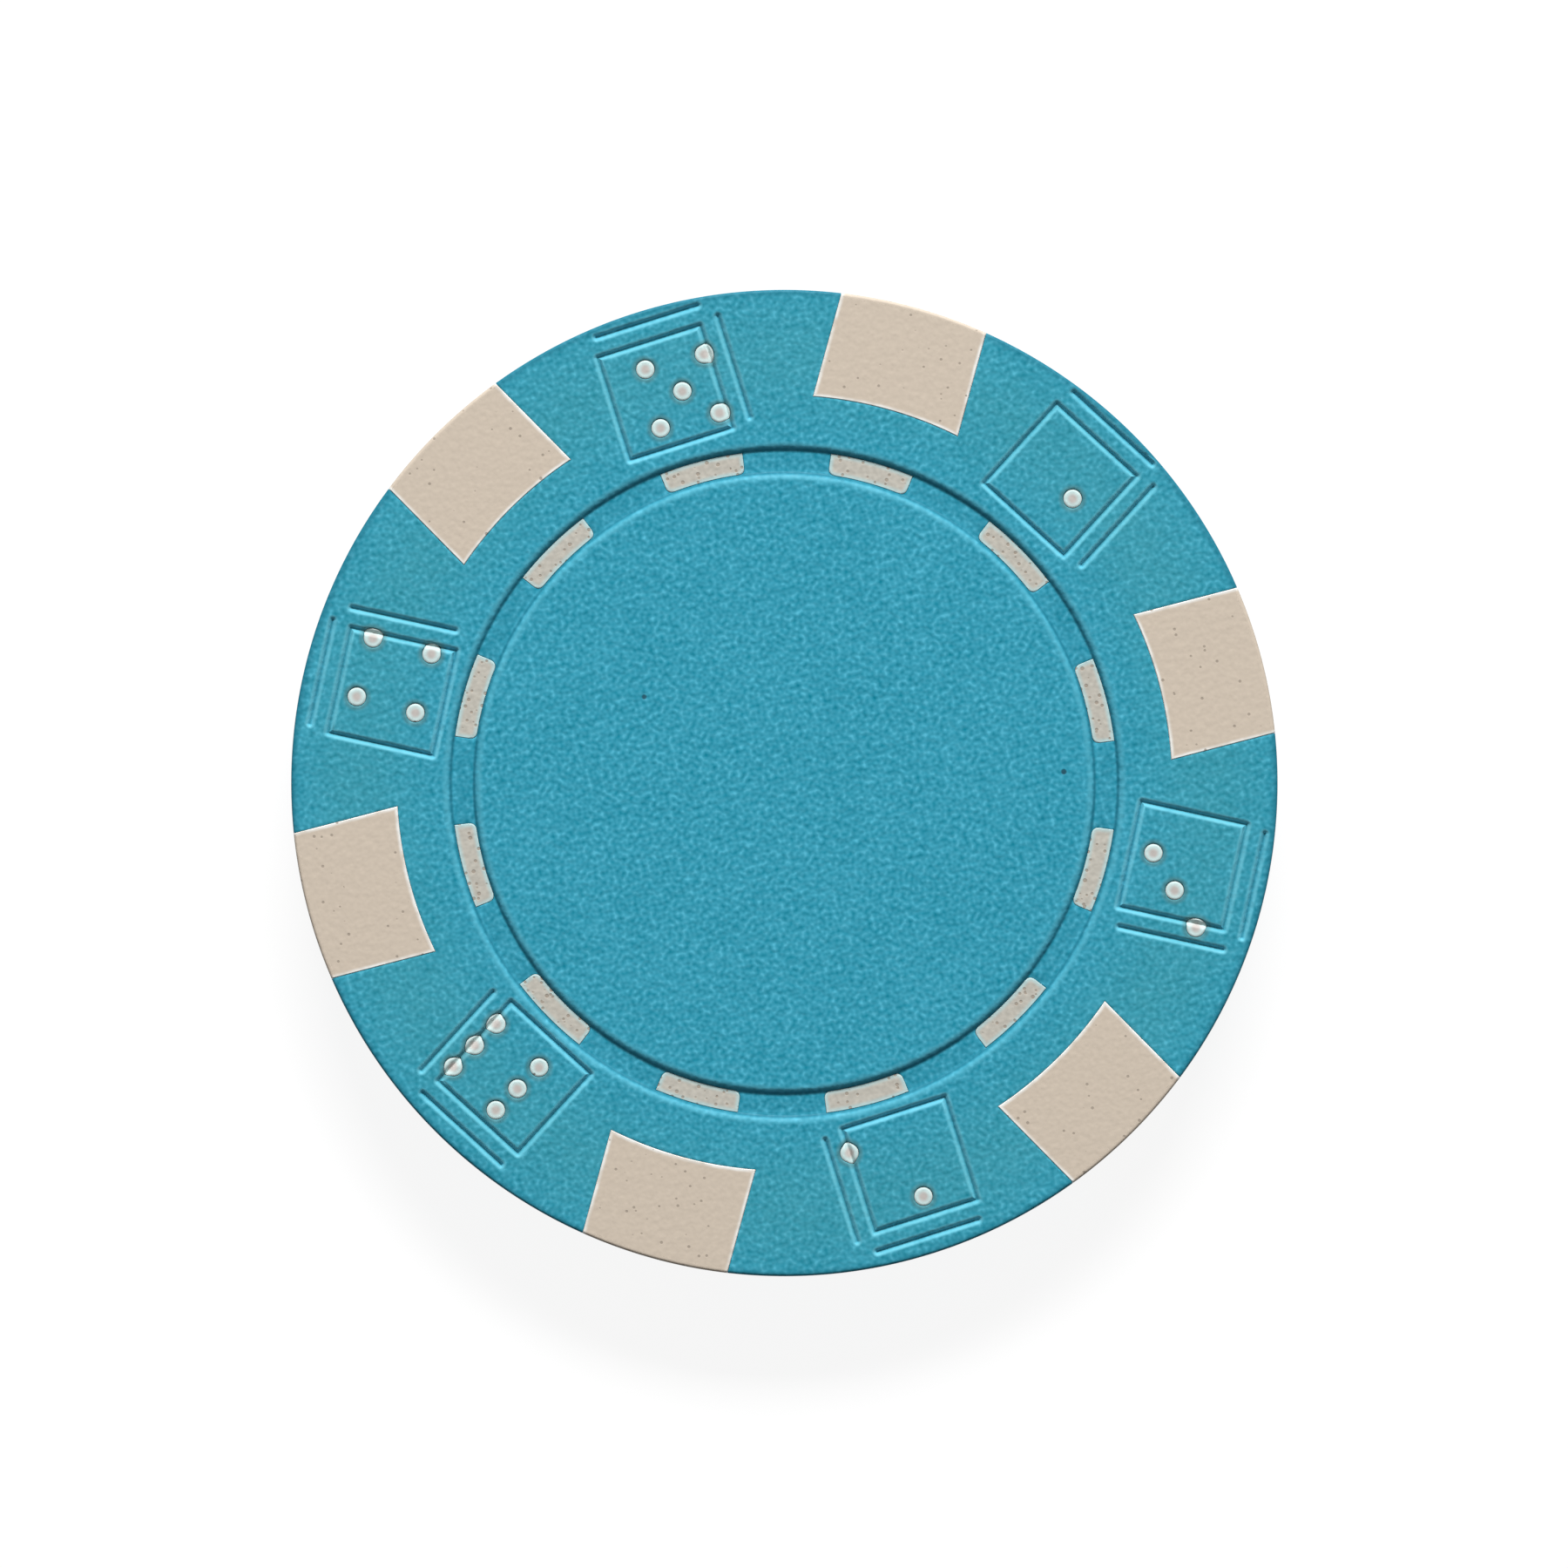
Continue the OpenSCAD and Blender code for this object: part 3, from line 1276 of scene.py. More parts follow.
@dataclass
class DicePips:
    """Ivory pips of the six dice, set into the faces."""

    sizes: ChipSizes
    lines: DiceLines
    height: float = 0.28
    edge_round: float = 0.03
    flare: float = 0.2
    facets: int = 48
    side_rows: int = 2
    top_rings: int = 10
    flat_share: float = 0.8
    crease: float = 40.0

    def grid(self, value: int) -> list[tuple[int, int]]:
        """Places of a die's pips.

        Args:
            value: Number of pips.

        Returns:
            For each pip the steps clockwise and the steps towards the rim.
        """
        slant = self.sizes.slant(value).value
        places = [(0, 0)] if value % 2 else []
        if value > 1:
            places += [(slant, 1), (-slant, -1)]
        if value > 3:
            places += [(-slant, 1), (slant, -1)]
        return places + ([(1, 0), (-1, 0)] if value == 6 else [])

    def centres(self) -> Points:
        """Finds the pips of the upper face.

        Returns:
            The middles of all the pips.
        """
        s = self.sizes
        found: list[Points] = []
        for number, value in enumerate(s.die_values):
            steps = np.array(self.grid(value), float) * s.pip_pitch
            local = np.column_stack([s.die_radius + steps[:, 1], -steps[:, 0]])
            found.append(turned(local, self.lines.die_angle(number)))
        return np.vstack(found)

    def reach(self, centre: Points, points: Points) -> Points:
        """Radius of a pip towards each point: a pip flares where an engraved line crosses its edge.

        Args:
            centre: Middle of the pip.
            points: Points round it.

        Returns:
            One radius for each point.
        """
        away = points - centre
        away = away / np.maximum(np.linalg.norm(away, axis=1), TINY)[:, None]
        share = self.lines.flare_share(centre + away * self.sizes.pip_radius)
        return self.sizes.pip_radius * (1 + self.flare * share)

    def outline(self, centre: Points, grow: float) -> Points:
        """Outline of a pip, pushed outwards.

        Args:
            centre: Middle of the pip.
            grow: How far the outline is pushed outwards.

        Returns:
            The points, counter-clockwise.
        """
        circle = arc(1.0, 0, 360, self.facets)[:-1]
        return centre + circle * (self.reach(centre, centre + circle) + grow)[:, None]

    def tree(self, number: int, material: bpy.types.Material) -> ShapeTree:
        """The tree that sets one die's pips from its value.

        Args:
            number: Place of the die round the chip.
            material: Finish of the pips.

        Returns:
            The tree.
        """
        s = self.sizes
        value = s.die_values[number]
        tree = ShapeTree(
            f"pips_of_die_{value}",
            {
                "Value": value,
                "Slant": s.slant(value).value,
                "Pitch": s.pip_pitch * MM,
                "Die Radius": s.die_radius * MM,
                "Die Angle": math.radians(self.lines.die_angle(number)),
                "Pip Radius": s.pip_radius * MM,
                "Flare": self.flare,
                "Pip Height": self.height * MM,
                "Edge Round": self.edge_round * MM,
                "Half Thickness": s.half * MM,
                **self.lines.inputs(number),
                "Lift": s.half * MM,
                "Material": material,
            },
        )
        grid = tree.add(
            "GeometryNodeMeshGrid",
            {},
            {
                "Size X": 2 * tree["Pitch"],
                "Size Y": 2 * tree["Pitch"],
                "Vertices X": 3,
                "Vertices Y": 3,
            },
        )
        x, y, _ = tree.position()
        out, across = x / tree["Pitch"], -y / tree["Pitch"]
        worth = tree["Value"]
        diagonal = out * across * tree["Slant"]
        middle = (1 - abs(out)) * (1 - abs(across)) * (worth % 2)
        corners = diagonal.most(0) * worth.over(1.5) + (-diagonal).most(0) * worth.over(3.5)
        sides = abs(across) * (1 - abs(out)) * worth.over(5.5)
        chosen = (middle + corners + sides).over(0.5)
        placed = tree.add(
            "GeometryNodeInstanceOnPoints",
            {},
            {"Points": grid, "Selection": chosen, "Instance": self.pip(tree)},
        )
        outward = tree.add("ShaderNodeCombineXYZ", {}, {"X": tree["Die Radius"]})
        real = tree.add("GeometryNodeRealizeInstances", {}, {"Geometry": placed})
        pressed = self.pressed(tree, real)
        moved = tree.add("GeometryNodeTransform", {}, {"Geometry": pressed, "Translation": outward})
        turn = tree.add("ShaderNodeCombineXYZ", {}, {"Z": tree["Die Angle"]})
        swung = tree.add("GeometryNodeTransform", {}, {"Geometry": moved, "Rotation": turn})
        tree.finish(tree.lifted(tree.both_faces(swung)))
        return tree

    def pip(self, tree: ShapeTree) -> Wire:
        """One pip as geometry: a short post with a rounded edge, its top level with the face.

        Args:
            tree: The tree that gets the nodes.

        Returns:
            The pip's mesh.
        """
        post = tree.add(
            "GeometryNodeMeshCylinder",
            {"fill_type": "TRIANGLE_FAN"},
            {
                "Vertices": self.facets,
                "Side Segments": self.side_rows,
                "Fill Segments": self.top_rings,
                "Radius": 1.0,
                "Depth": 2.0,
            },
            "Mesh",
        )
        x, y, z = tree.position()
        reach = (x * x + y * y).root()
        curve = ((reach - self.flat_share) / (1 - self.flat_share)).held()
        top = z.over(0.5)
        height = tree["Half Thickness"] - (1 - z) * 0.5 * tree["Pip Height"]
        height = height - curve * curve * tree["Edge Round"] * top
        gap = (1 - reach) * tree["Pip Radius"] / MM
        for name, value in {"edge_gap": gap, "unit_x": x, "unit_y": y, "pip_top": top}.items():
            post = tree.add(
                "GeometryNodeStoreNamedAttribute",
                {"data_type": "FLOAT", "domain": "POINT"},
                {"Geometry": post, "Name": name, "Value": value},
            )
        scale = tree["Pip Radius"]
        place = tree.add("ShaderNodeCombineXYZ", {}, {"X": x * scale, "Y": y * scale, "Z": height})
        return tree.add("GeometryNodeSetPosition", {}, {"Geometry": post, "Position": place})

    def pressed(self, tree: ShapeTree, geometry: Wire) -> Wire:
        """Flares the pips that an engraved line crosses, and presses the line into their tops.

        Args:
            tree: The tree that gets the nodes.
            geometry: The pips about the die's own middle.

        Returns:
            The finished pips.
        """
        x, y, z = tree.position()
        radius = tree["Pip Radius"]
        unit_x, unit_y = tree.value("unit_x"), tree.value("unit_y")
        reach = (unit_x * unit_x + unit_y * unit_y).root().most(TINY)
        centre_x, centre_y = x - unit_x * radius, y - unit_y * radius
        edge_x, edge_y = centre_x + unit_x / reach * radius, centre_y + unit_y / reach * radius
        share = self.lines.rule(tree, edge_x, edge_y).eased()
        grown = radius * (1 + share * tree["Flare"])
        new_x, new_y = centre_x + unit_x * grown, centre_y + unit_y * grown
        share = self.lines.rule(tree, new_x, new_y).bent(tree["Line Bend"]).eased()
        drop = share * tree["Line Depth"] * tree.value("pip_top")
        place = tree.add("ShaderNodeCombineXYZ", {}, {"X": new_x, "Y": new_y, "Z": z - drop})
        return tree.add("GeometryNodeSetPosition", {}, {"Geometry": geometry, "Position": place})

    def build(self, material: bpy.types.Material) -> list[bpy.types.Object]:
        """Makes the pips.

        Args:
            material: Finish of the pips.

        Returns:
            One piece for each die.
        """
        pieces: list[bpy.types.Object] = []
        for number, value in enumerate(self.sizes.die_values):
            empty = bpy.data.meshes.new(f"die_{value}")
            tree = self.tree(number, material)
            pieces.append(tree.apply(f"die_{value}_pips", empty, self.crease))
        return pieces


@dataclass
class BlueBody:
    """Blue second shot: both faces with their grooves, the rim, and a pocket for each mark."""

    sizes: ChipSizes
    spots: EdgeSpots
    dashes: RingDashes
    dice: DicePips
    lines: DiceLines
    seam: float = 0.012
    seam_width: float = 0.05
    pip_seam: float = 0.05
    pip_rings: tuple[float, ...] = (0.025, 0.05, 0.12, 0.26)
    mark_seam: float = 0.015
    pocket: float = 0.3
    wall_foot: float = 0.05
    wall_shoulder: float = 0.12
    wall_bend: float = 0.65
    line_levels: tuple[float, ...] = (0.12, 0.3, 0.5, 0.7, 0.88, 1.0, 1.16)
    wall_levels: tuple[float, ...] = (
        -0.35, -0.15, 0.0, 0.18, 0.35, 0.5, 0.62, 0.73, 0.83, 0.92, 1.0, 1.2, 1.45
    )
    round_steps: int = 240
    rim_steps: int = 44
    pitch: float = 0.4
    ridge: float = 0.01
    ridge_half: float = 0.05
    line_margin: float = 0.075
    overrun: float = 2.0
    dash_guide: float = 0.012
    fill_pitch: float = 0.9
    fill_rise: float = 0.866
    fill_rows: int = 24
    ring_clear: float = 0.35
    rim_clear: float = 0.6
    line_clear: float = 0.4
    mark_clear: float = 0.3
    pip_reach: float = 1.0
    hollow_steps: int = 96
    hollow_gap: float = 0.02
    snap: float = 1e-3
    crease: float = 38.0

    def line_guides(self, plan: Plan) -> None:
        """Adds the engraved lines, and the lines that follow them at even distances.

        Args:
            plan: The plan of the face.
        """
        s = self.sizes
        half, limit = s.die_side / 2, s.radius - self.line_margin
        loops: list[Points] = [divided(rounded_box(half, half, 0.0), self.pitch, True)]
        for level in self.line_levels:
            gap = level * s.line_width / 2
            loops.append(divided(rounded_box(half, half, gap), self.pitch, True))
            loops.append(divided(rounded_box(half - gap, half - gap, 0.0), self.pitch, True))
            for middle, along_x, along_y in self.lines.strokes():
                loops.append(divided(rounded_box(along_x, along_y, gap) + middle, self.pitch, True))
        for number in range(s.sectors):
            for loop in loops:
                points = self.lines.place(loop, number)
                plan.runs(points, np.linalg.norm(points, axis=1) < limit, True)
            for middle, along_x, along_y in self.lines.strokes():
                step = np.array([along_x, along_y])
                core = divided([middle - step, middle + step], self.pitch)
                plan.line(self.lines.place(core, number))

    def ring_radii(self) -> list[float]:
        """Rows of points that follow the walls of the ring groove.

        Returns:
            The radii at which the groove is meshed.
        """
        s = self.sizes
        edge = s.ring_floor / 2 + s.ring_wall + self.wall_shoulder
        width = self.wall_foot + s.ring_wall + self.wall_shoulder
        steps = [edge - level * width for level in self.wall_levels]
        return [s.ring_radius - d for d in steps] + [s.ring_radius + d for d in steps]

    def slot_polygon(self) -> Points:
        """The opening for one edge spot about the +X axis.

        Returns:
            The corners, run past the rim.
        """
        side = self.sizes.spot_width / 2 + self.seam
        far = self.sizes.radius + self.overrun
        return np.vstack([self.spots.outline(self.seam), [(far, -side), (far, side)]])

    def rim_guides(self, plan: Plan, lines: Points) -> None:
        """Adds the rim, its rounding and the edges of the slots.

        Args:
            plan: The plan of the face.
            lines: The engraved lines.
        """
        s = self.sizes
        steps = (0.0, self.seam_width, 2 * self.seam_width)
        for spot in range(s.sectors):
            angle = spot * s.sector_angle
            for step in steps:
                plan.line(turned(self.spots.outline(self.seam + step), angle))
        clear = s.line_width / 2 * self.line_levels[-1]
        for r in [s.radius - s.rim_round - self.spots.rim_margin, *self.spots.rim_radii()]:
            half = s.spot_width / 2 + self.seam
            starts = [math.degrees(math.asin((half + d) / r)) for d in steps]
            even = np.linspace(starts[-1], s.sector_angle - starts[-1], self.rim_steps)
            ends = [s.sector_angle - a for a in reversed(starts[:-1])]
            turns = np.radians([*starts[:-1], *even, *ends])
            sector = np.column_stack([np.cos(turns), np.sin(turns)]) * r
            for spot in range(s.sectors):
                points = turned(sector, spot * s.sector_angle)
                keep = distance_to_lines(points, lines) > clear
                if r == s.radius:
                    keep[:] = True
                plan.runs(points, keep)

    def fill_points(self, lines: Points) -> Points:
        """Evenly spread points for the flat parts of the face.

        Args:
            lines: The engraved lines.

        Returns:
            The points.
        """
        s = self.sizes
        pitch, rise = self.fill_pitch, self.fill_rise
        rows = np.arange(-self.fill_rows, self.fill_rows + 1)
        places = [((c + (r % 2) / 2) * pitch, r * pitch * rise) for r in rows for c in rows]
        grid = np.array(places)
        radius = np.linalg.norm(grid, axis=1)
        ring = s.ring_floor / 2 + s.ring_wall + self.ring_clear
        flat = (np.abs(radius - s.ring_radius) > ring) & (radius < s.radius - self.rim_clear)
        flat &= distance_to_lines(grid, lines) > self.line_clear
        flat &= self.mark_gap(grid) > self.mark_clear
        return grid[flat & (self.pip_gap(grid) > self.mark_clear)]

    def pip_gap(self, points: Points) -> Points:
        """Distance from points on the blue face to the nearest pip's opening.

        Args:
            points: Points in the plane.

        Returns:
            One distance for each point, 0 on the opening's edge.
        """
        best = np.full(len(points), Shell.FAR)
        for centre in self.dice.centres():
            away = np.linalg.norm(points - centre, axis=1)
            near = np.flatnonzero(away < self.pip_reach)
            gap = away[near] - self.dice.reach(centre, points[near]) - self.seam
            best[near] = np.minimum(best[near], gap)
        return np.maximum(best, 0)

    def mark_gap(self, points: Points) -> Points:
        """Distance from points on the blue face to the nearest spot's or dash's opening.

        Args:
            points: Points in the plane.

        Returns:
            One distance for each point, 0 on the opening's edge.
        """
        s = self.sizes
        best = np.full(len(points), Shell.FAR)
        for spot in range(s.sectors):
            about_x = turned(points, -spot * s.sector_angle)
            best = np.minimum(best, -self.spots.gap(about_x, self.seam))
        for dash in range(s.dashes):
            about_x = turned(points, -dash * 360 / s.dashes)
            best = np.minimum(best, -self.dashes.gap(about_x) - self.seam)
        return np.maximum(best, 0)

    def plan(self) -> tuple[Points, Points]:
        """Draws the upper face flat.

        Returns:
            The points and the triangles that index them.
        """
        s = self.sizes
        plan = Plan()
        lines = self.lines.segments()
        self.rim_guides(plan, lines)
        self.line_guides(plan)
        for r in self.ring_radii():
            plan.line(arc(r, 0, 360, self.round_steps)[:-1], closed=True)
        for dash in range(s.dashes):
            angle = dash * 360 / s.dashes
            plan.opening(turned(self.dashes.outline(self.seam, self.seam), angle))
            guide = self.dashes.outline(self.seam + self.dash_guide, self.seam + self.seam_width)
            plan.line(turned(guide, angle), closed=True)
        for centre in self.dice.centres():
            plan.opening(self.dice.outline(centre, self.seam))
            for step in self.pip_rings:
                plan.line(self.dice.outline(centre, self.seam + step), closed=True)
        plan.scatter(self.fill_points(lines))
        slot = self.slot_polygon()
        return plan.triangles([turned(slot, i * s.sector_angle) for i in range(s.sectors)])

    def shell(self) -> Shell:
        """Builds the closed mesh with flat faces.

        Returns:
            The shell, with the values on its points that press the faces to shape.
        """
        s = self.sizes
        pts, tris = self.plan()
        used = np.unique(tris)
        renumber = np.full(len(pts), -1)
        renumber[used] = np.arange(len(used))
        pts, tris = pts[used], renumber[tris]
        radius = np.linalg.norm(pts, axis=1)
        gaps = {
            "line_gap": distance_to_lines(pts, self.lines.segments()),
            "mark_gap": self.mark_gap(pts),
            "pip_gap": self.pip_gap(pts),
            "ring_gap": np.abs(radius - s.ring_radius),
            "rim_gap": s.radius - radius,
        }
        loops = traced(boundary(tris))
        rim = max(loops, key=len)
        shell = Shell("side", "sink", *gaps)
        starts: dict[int, int] = {}
        for side in (1, -1):
            face = np.column_stack([pts[:, 0], pts[:, 1] * side, np.full(len(pts), s.half * side)])
            start = shell.add(face, side=side, **gaps)
            starts[side] = start
            shell.faces += [tuple(t) for t in (tris + start).tolist()]
            for loop in loops:
                if loop is rim:
                    continue
                floor = shell.add(face[loop], side=side, sink=self.pocket)
                count = len(loop)
                for i in range(count):
                    a, b = loop[i] + start, loop[(i + 1) % count] + start
                    shell.faces.append((b, a, floor + i, floor + (i + 1) % count))
                shell.faces.append(tuple(floor + i for i in reversed(range(count))))
        self.rim_walls(shell, pts, rim, starts[-1])
        self.slug_hollow(shell)
        return shell

    def rim_walls(self, shell: Shell, pts: Points, rim: list[int], low: int) -> None:
        """Adds the rim with its fine parting ridge, and the walls of the slots.

        Args:
            shell: The shell that gets the walls.
            pts: The plan's points.
            rim: The points round the upper face, in order.
            low: Number of the lower face's first point.
        """
        s = self.sizes
        ring = pts[rim]
        chains: list[list[int]] = []
        for number, (x, y) in zip(rim, ring):
            gap = np.hypot(ring[:, 0] - x, ring[:, 1] + y)
            partner = int(np.argmin(gap))
            assert gap[partner] < self.snap, "the rim is not the same on both faces"
            chain = [number]
            reach = math.hypot(x, y)
            if abs(reach - s.radius) < self.snap:
                grow = 1 + self.ridge / s.radius
                levels = [(1.0, self.ridge_half), (grow, 0.0), (1.0, -self.ridge_half)]
                chain += [shell.add(np.array([(x * k, y * k, z)])) for k, z in levels]
            chains.append([*chain, low + rim[partner]])
        for a, b in zip(chains, chains[1:] + chains[:1]):
            if len(a) == len(b):
                for k in range(len(a) - 1):
                    shell.faces.append((b[k], a[k], a[k + 1], b[k + 1]))
            else:
                shell.faces.append((b[0], *a, *reversed(b[1:])))

    def slug_hollow(self, shell: Shell) -> None:
        """Adds the closed hollow that the steel slug fills.

        Args:
            shell: The shell that gets the hollow.
        """
        s = self.sizes
        count = self.hollow_steps
        ring = arc(s.slug_radius + self.hollow_gap, 0, 360, count)[:-1]
        height = s.slug_thickness / 2 + self.hollow_gap
        top = shell.add(np.column_stack([ring, np.full(count, height)]))
        low = shell.add(np.column_stack([ring, np.full(count, -height)]))
        shell.faces.append(tuple(top + i for i in reversed(range(count))))
        shell.faces.append(tuple(low + i for i in range(count)))
        for i in range(count):
            j = (i + 1) % count
            shell.faces.append((top + i, top + j, low + j, low + i))

    def tree(self, material: bpy.types.Material) -> ShapeTree:
        """The tree that presses rim, ring groove, dice lines and seams into the flat faces.

        Args:
            material: Finish of the body.

        Returns:
            The tree.
        """
        s = self.sizes
        tree = ShapeTree(
            "pressed_faces",
            {
                "Rim Radius": s.radius * MM,
                "Rim Round": s.rim_round * MM,
                "Ring Radius": s.ring_radius * MM,
                "Ring Floor": s.ring_floor * MM,
                "Ring Wall": s.ring_wall * MM,
                "Wall Foot": self.wall_foot * MM,
                "Wall Shoulder": self.wall_shoulder * MM,
                "Wall Bend": self.wall_bend,
                "Ring Depth": s.ring_depth * MM,
                "Line Width": s.line_width * MM,
                "Line Depth": s.line_depth * MM,
                "Line Bend": self.lines.bend,
                "Seam Width": self.seam_width * MM,
                "Pip Seam": self.pip_seam * MM,
                "Mark Seam": self.mark_seam * MM,
                "Lift": s.half * MM,
                "Material": material,
            },
        )
        x, y, _ = tree.position()
        radius = (x * x + y * y).root()
        edge = tree["Ring Floor"] / 2 + tree["Ring Wall"] + tree["Wall Shoulder"]
        width = tree["Wall Foot"] + tree["Ring Wall"] + tree["Wall Shoulder"]
        down = (edge - abs(radius - tree["Ring Radius"])) / width
        ring = down.bent(tree["Wall Bend"]).eased() * tree["Ring Depth"]
        bend = ((radius - tree["Rim Radius"] + tree["Rim Round"]) / tree["Rim Round"]).held()
        rim = (1 - (1 - bend * bend).root()) * tree["Rim Round"]
        near = 1 - tree.value("line_gap") * MM * 2 / tree["Line Width"]
        line = near.bent(tree["Line Bend"]).eased() * tree["Line Depth"]
        drop = ring + rim + line + tree.value("sink") * MM
        for gap, depth in (("pip_gap", "Pip Seam"), ("mark_gap", "Mark Seam")):
            near = (1 - tree.value(gap) * MM / tree["Seam Width"]).held()
            drop = drop + near * near * tree[depth]
        offset = tree.add("ShaderNodeCombineXYZ", {}, {"Z": -drop * tree.value("side")})
        pressed = tree.add(
            "GeometryNodeSetPosition", {}, {"Geometry": tree["Geometry"], "Offset": offset}
        )
        tree.finish(tree.lifted(pressed))
        return tree

    def build(self, material: bpy.types.Material) -> bpy.types.Object:
        """Makes the body.

        Args:
            material: Finish of the body.

        Returns:
            The piece.
        """
        flat = self.shell().mesh("blue_body_flat")
        return self.tree(material).apply("blue_body", flat, self.crease)


@dataclass
class WeightSlug:
    """Steel slug inside the chip, which keeps the shape of its CAD node."""

    node: str = "weight_slug"

    def dress(self, material: bpy.types.Material) -> bpy.types.Object:
        """Gives the slug its finish.

        Args:
            material: Finish of the slug.

        Returns:
            The CAD node's object.
        """
        piece = frame["nodes"][self.node]
        for slot in piece.material_slots:
            slot.material = material
        return piece


@dataclass
class Studio:
    """Pale floor, one broad low light, a weak even fill and a camera straight above."""

    sizes: ChipSizes
    photo_turn: float = 14.6
    key_turn: float = 86.0
    frame_width: float = 61.975
    chip_left: float = -0.0145
    chip_up: float = 0.0375
    lens: float = 250.0
    sensor: float = 36.0
    key_elevation: float = 33.0
    key_distance: float = 1200.0
    key_width: float = 700.0
    key_height: float = 260.0
    key_share: float = 0.85
    fill_share: float = 0.15
    floor_albedo: float = 0.14
    floor_glow: float = 0.9
    floor_gap: float = 0.02
    floor_reach: float = 3.0

    def camera(self) -> None:
        """Places the camera above the chip, turned as the photograph is."""
        data = bpy.data.cameras.new("camera")
        data.sensor_width, data.lens = self.sensor, self.lens
        eye = bpy.data.objects.new("camera", data)
        distance = self.frame_width * self.lens / self.sensor
        shift = turned(np.array([[self.chip_left, -self.chip_up]]), -self.photo_turn)[0]
        eye.location = (shift[0] * MM, shift[1] * MM, (self.sizes.thickness + distance) * MM)
        eye.rotation_euler = (0.0, 0.0, math.radians(-self.photo_turn))
        bpy.context.scene.collection.objects.link(eye)
        bpy.context.scene.camera = eye

    def key(self) -> None:
        """Places the key light, which comes from the top of the photograph."""
        data = bpy.data.lights.new("key", "AREA")
        data.shape, data.size, data.size_y = "RECTANGLE", self.key_width * MM, self.key_height * MM
        rise = math.radians(self.key_elevation)
        level = self.key_share * math.pi / math.sin(rise)
        data.energy = level * math.pi * (self.key_distance * MM) ** 2
        turn = math.radians(self.key_turn - self.photo_turn)
        flat = math.cos(rise)
        towards = Vector((flat * math.cos(turn), flat * math.sin(turn), math.sin(rise)))
        lamp = bpy.data.objects.new("key", data)
        lamp.location = towards * self.key_distance * MM
        lamp.rotation_euler = towards.to_track_quat("Z", "Y").to_euler()
        bpy.context.scene.collection.objects.link(lamp)

    def seen(self, g: Graph) -> Wire:
        """Tells which rays see white.

        Args:
            g: The graph of the floor's material or of the world.

        Returns:
            One for rays from the camera, or from gloss or glass, else nothing.
        """
        path = g.node("ShaderNodeLightPath", {}, {})
        kinds = ("Camera", "Glossy", "Transmission")
        camera, gloss, glass = (Wire(g, path.outputs[f"Is {kind} Ray"]) for kind in kinds)
        return camera.most(gloss).most(glass)

    def world(self) -> None:
        """Lights the chip evenly and weakly from all round, and shows as white."""
        world = bpy.data.worlds.new("studio")
        world.use_nodes = True
        bpy.context.scene.world = world
        g = Graph(world.node_tree)
        white = (1.0, 1.0, 1.0, 1.0)
        fill = g.out("ShaderNodeBackground", {}, {"Color": white, "Strength": self.fill_share})
        back = g.out("ShaderNodeBackground", {}, {"Color": white, "Strength": 1.0})
        both = g.out("ShaderNodeMixShader", {}, {0: self.seen(g), 1: fill, 2: back})
        g.node("ShaderNodeOutputWorld", {}, {"Surface": both})

    def floor(self) -> None:
        """Lays the pale floor, which keeps the chip's shadow and shows as white elsewhere."""
        mesh = bpy.data.meshes.new("floor")
        reach, low = self.floor_reach, -self.floor_gap * MM
        corners = [(x * reach, y * reach, low) for x, y in ((-1, -1), (1, -1), (1, 1), (-1, 1))]
        mesh.from_pydata(corners, [], [(0, 1, 2, 3)])
        material, g = new_material("pale_floor")
        pale = (self.floor_albedo,) * 3 + (1.0,)
        matt = g.out("ShaderNodeBsdfDiffuse", {}, {"Color": pale})
        glow = g.out("ShaderNodeEmission", {}, {"Strength": self.seen(g) * self.floor_glow})
        both = g.out("ShaderNodeAddShader", {}, {0: matt, 1: glow})
        g.node("ShaderNodeOutputMaterial", {}, {"Surface": both})
        mesh.materials.append(material)
        floor = bpy.data.objects.new("floor", mesh)
        bpy.context.scene.collection.objects.link(floor)

    def build(self) -> None:
        """Sets up the whole studio."""
        bpy.context.scene.view_settings.view_transform = "Standard"
        self.camera()
        self.key()
        self.world()
        self.floor()


PALE_EDGE = (0.90, 0.89, 0.85)
COOL_EDGE = (0.50, 0.68, 0.68)
DIRT = (0.12, 0.1, 0.08)
FAINT_DIRT = (0.38, 0.32, 0.26)
# Painted shade: darker blue laid where shade falls, in groove bottoms, on the ring's floor and wall
# feet, and along the rim's edge.
PAINTED_SHADE_BLUE = (0.010, 0.15, 0.22)
# Painted highlight: lighter blue laid on the rounded shoulders of the ring groove, where they would
# catch the light.
SHOULDER_HIGHLIGHT_BLUE = (0.10, 0.45, 0.585)
# Painted highlight: lighter blue laid on both shoulders of the dice lines.
LINE_HIGHLIGHT_BLUE = (0.14, 0.53, 0.675)
DULL_BLUE = (0.076, 0.334, 0.33)
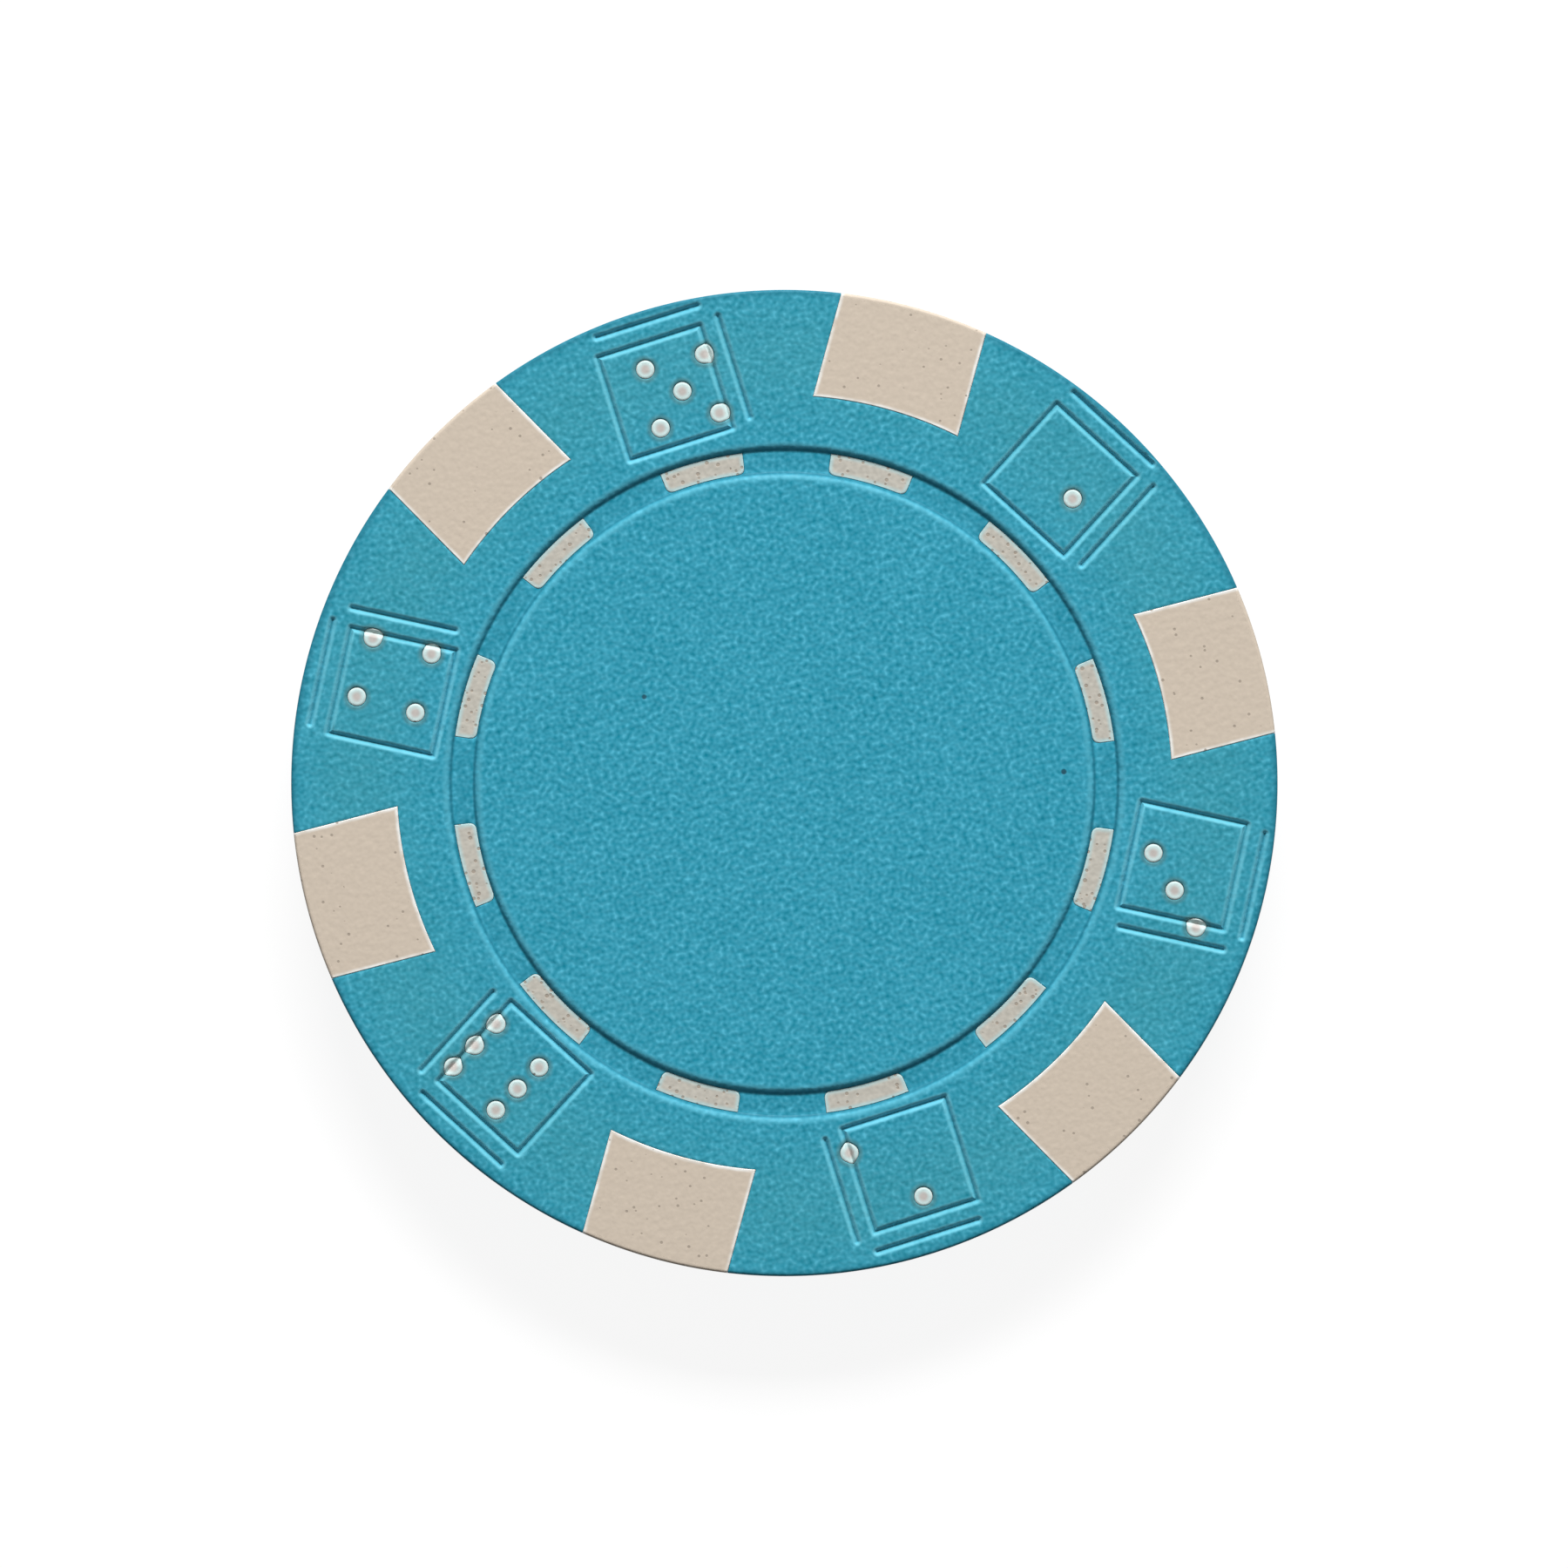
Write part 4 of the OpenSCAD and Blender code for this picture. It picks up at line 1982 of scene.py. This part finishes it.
# Painted shade: darker grey-blue laid in a band round each pip's seam.
PIP_SHADE = (0.10, 0.2, 0.195)
PIP_EDGE = (0.62, 0.79, 0.78)
BLUE = MouldedPlastic(
    name="blue_moulded_plastic",
    colour=(0.0320, 0.332, 0.461),
    grain=0.03,
    mottle=1.05,
    sparkle=0.04,
    glint=0.3,
    speck=(0.02, 0.06, 0.09),
    speck_size=0.1,
    speck_share=0.015,
    tints=(
        # Painted highlight along the shoulders of each dice line, made patchy by noise.
        EdgeTint("line_gap", 0.11, 0.145, LINE_HIGHLIGHT_BLUE, 0.95, 1.5),
        # Painted shade along the middle of each dice line's groove.
        EdgeTint("line_gap", 0.0, 0.08, PAINTED_SHADE_BLUE, 0.45),
        # Painted highlight on the ring groove's shoulders, made patchy by noise.
        EdgeTint("ring_gap", 0.64, 0.2, SHOULDER_HIGHLIGHT_BLUE, 0.55, 1.5),
        # Painted shade at the foot of the ring groove's walls.
        EdgeTint("ring_gap", 0.46, 0.11, PAINTED_SHADE_BLUE, 0.7),
        # Painted shade over the whole floor of the ring groove.
        EdgeTint("ring_gap", 0.0, 0.5, PAINTED_SHADE_BLUE, 0.24),
        EdgeTint("rim_gap", 2.6, 4.0, DULL_BLUE, 0.2, 0.8),
        # Painted shade along the rounded edge of the rim.
        EdgeTint("rim_gap", 0.0, 0.35, PAINTED_SHADE_BLUE, 0.7),
        # Painted shade round each pip's seam.
        EdgeTint("pip_gap", 0.04, 0.22, PIP_SHADE, 0.55),
    ),
)
IVORY_SPOT = MouldedPlastic(
    name="ivory_spot_plastic",
    colour=(0.636, 0.546, 0.447),
    grain=0.013,
    mottle=0.19,
    speck=FAINT_DIRT,
    speck_size=0.055,
    speck_spread=6.0,
    speck_share=0.3,
    tints=(EdgeTint("edge_gap", 0.02, 0.16, PALE_EDGE, 0.9, 3.0),),
)
IVORY_DASH = MouldedPlastic(
    name="ivory_dash_plastic",
    colour=(0.545, 0.515, 0.452),
    grain=0.02,
    mottle=0.55,
    speck=FAINT_DIRT,
    speck_size=0.07,
    speck_spread=3.2,
    speck_share=0.5,
    tints=(EdgeTint("edge_gap", 0.0, 0.22, COOL_EDGE, 1.0, 1.0),),
)
IVORY_PIP = MouldedPlastic(
    name="ivory_pip_plastic",
    colour=(0.555, 0.515, 0.485),
    grain=0.02,
    mottle=0.2,
    speck=DIRT,
    speck_size=0.06,
    speck_share=0.1,
    tints=(EdgeTint("edge_gap", 0.08, 0.2, PIP_EDGE, 1.0),),
)
STEEL = StampedSteel(name="slug_sheet_steel", colour=(0.56, 0.56, 0.57))


def keep(piece: bpy.types.Object, node: str, slot: Slot) -> None:
    """Ties a finished piece to the chip's body and reports it.

    Args:
        piece: The piece.
        node: The CAD node that it stands for.
        slot: Material slot of the record that the piece stands for; not used.
    """
    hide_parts(node)
    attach(piece, BODY)
    piece.data.calc_loop_triangles()
    LOG.info("%s: %d triangles", piece.name, len(piece.data.loop_triangles))


def main() -> None:
    """Builds the chip, its finishes and the studio in order."""
    logging.basicConfig(level=logging.INFO, format="%(name)s: %(message)s")
    sizes = ChipSizes()
    lines = DiceLines(sizes)
    spots, dashes, dice = EdgeSpots(sizes), RingDashes(sizes), DicePips(sizes, lines)
    keep(BlueBody(sizes, spots, dashes, dice, lines).build(BLUE.material()), "body", Slot.BLUE)
    keep(spots.build(IVORY_SPOT.material()), "insert_core", Slot.IVORY)
    keep(dashes.build(IVORY_DASH.material()), "insert_core", Slot.IVORY)
    for pips in dice.build(IVORY_PIP.material()):
        keep(pips, "insert_core", Slot.IVORY)
    slug = WeightSlug().dress(STEEL.material())
    LOG.info("%s: CAD node with its own finish", slug.name)
    Studio(sizes).build()


if __name__ == "__main__":
    main()
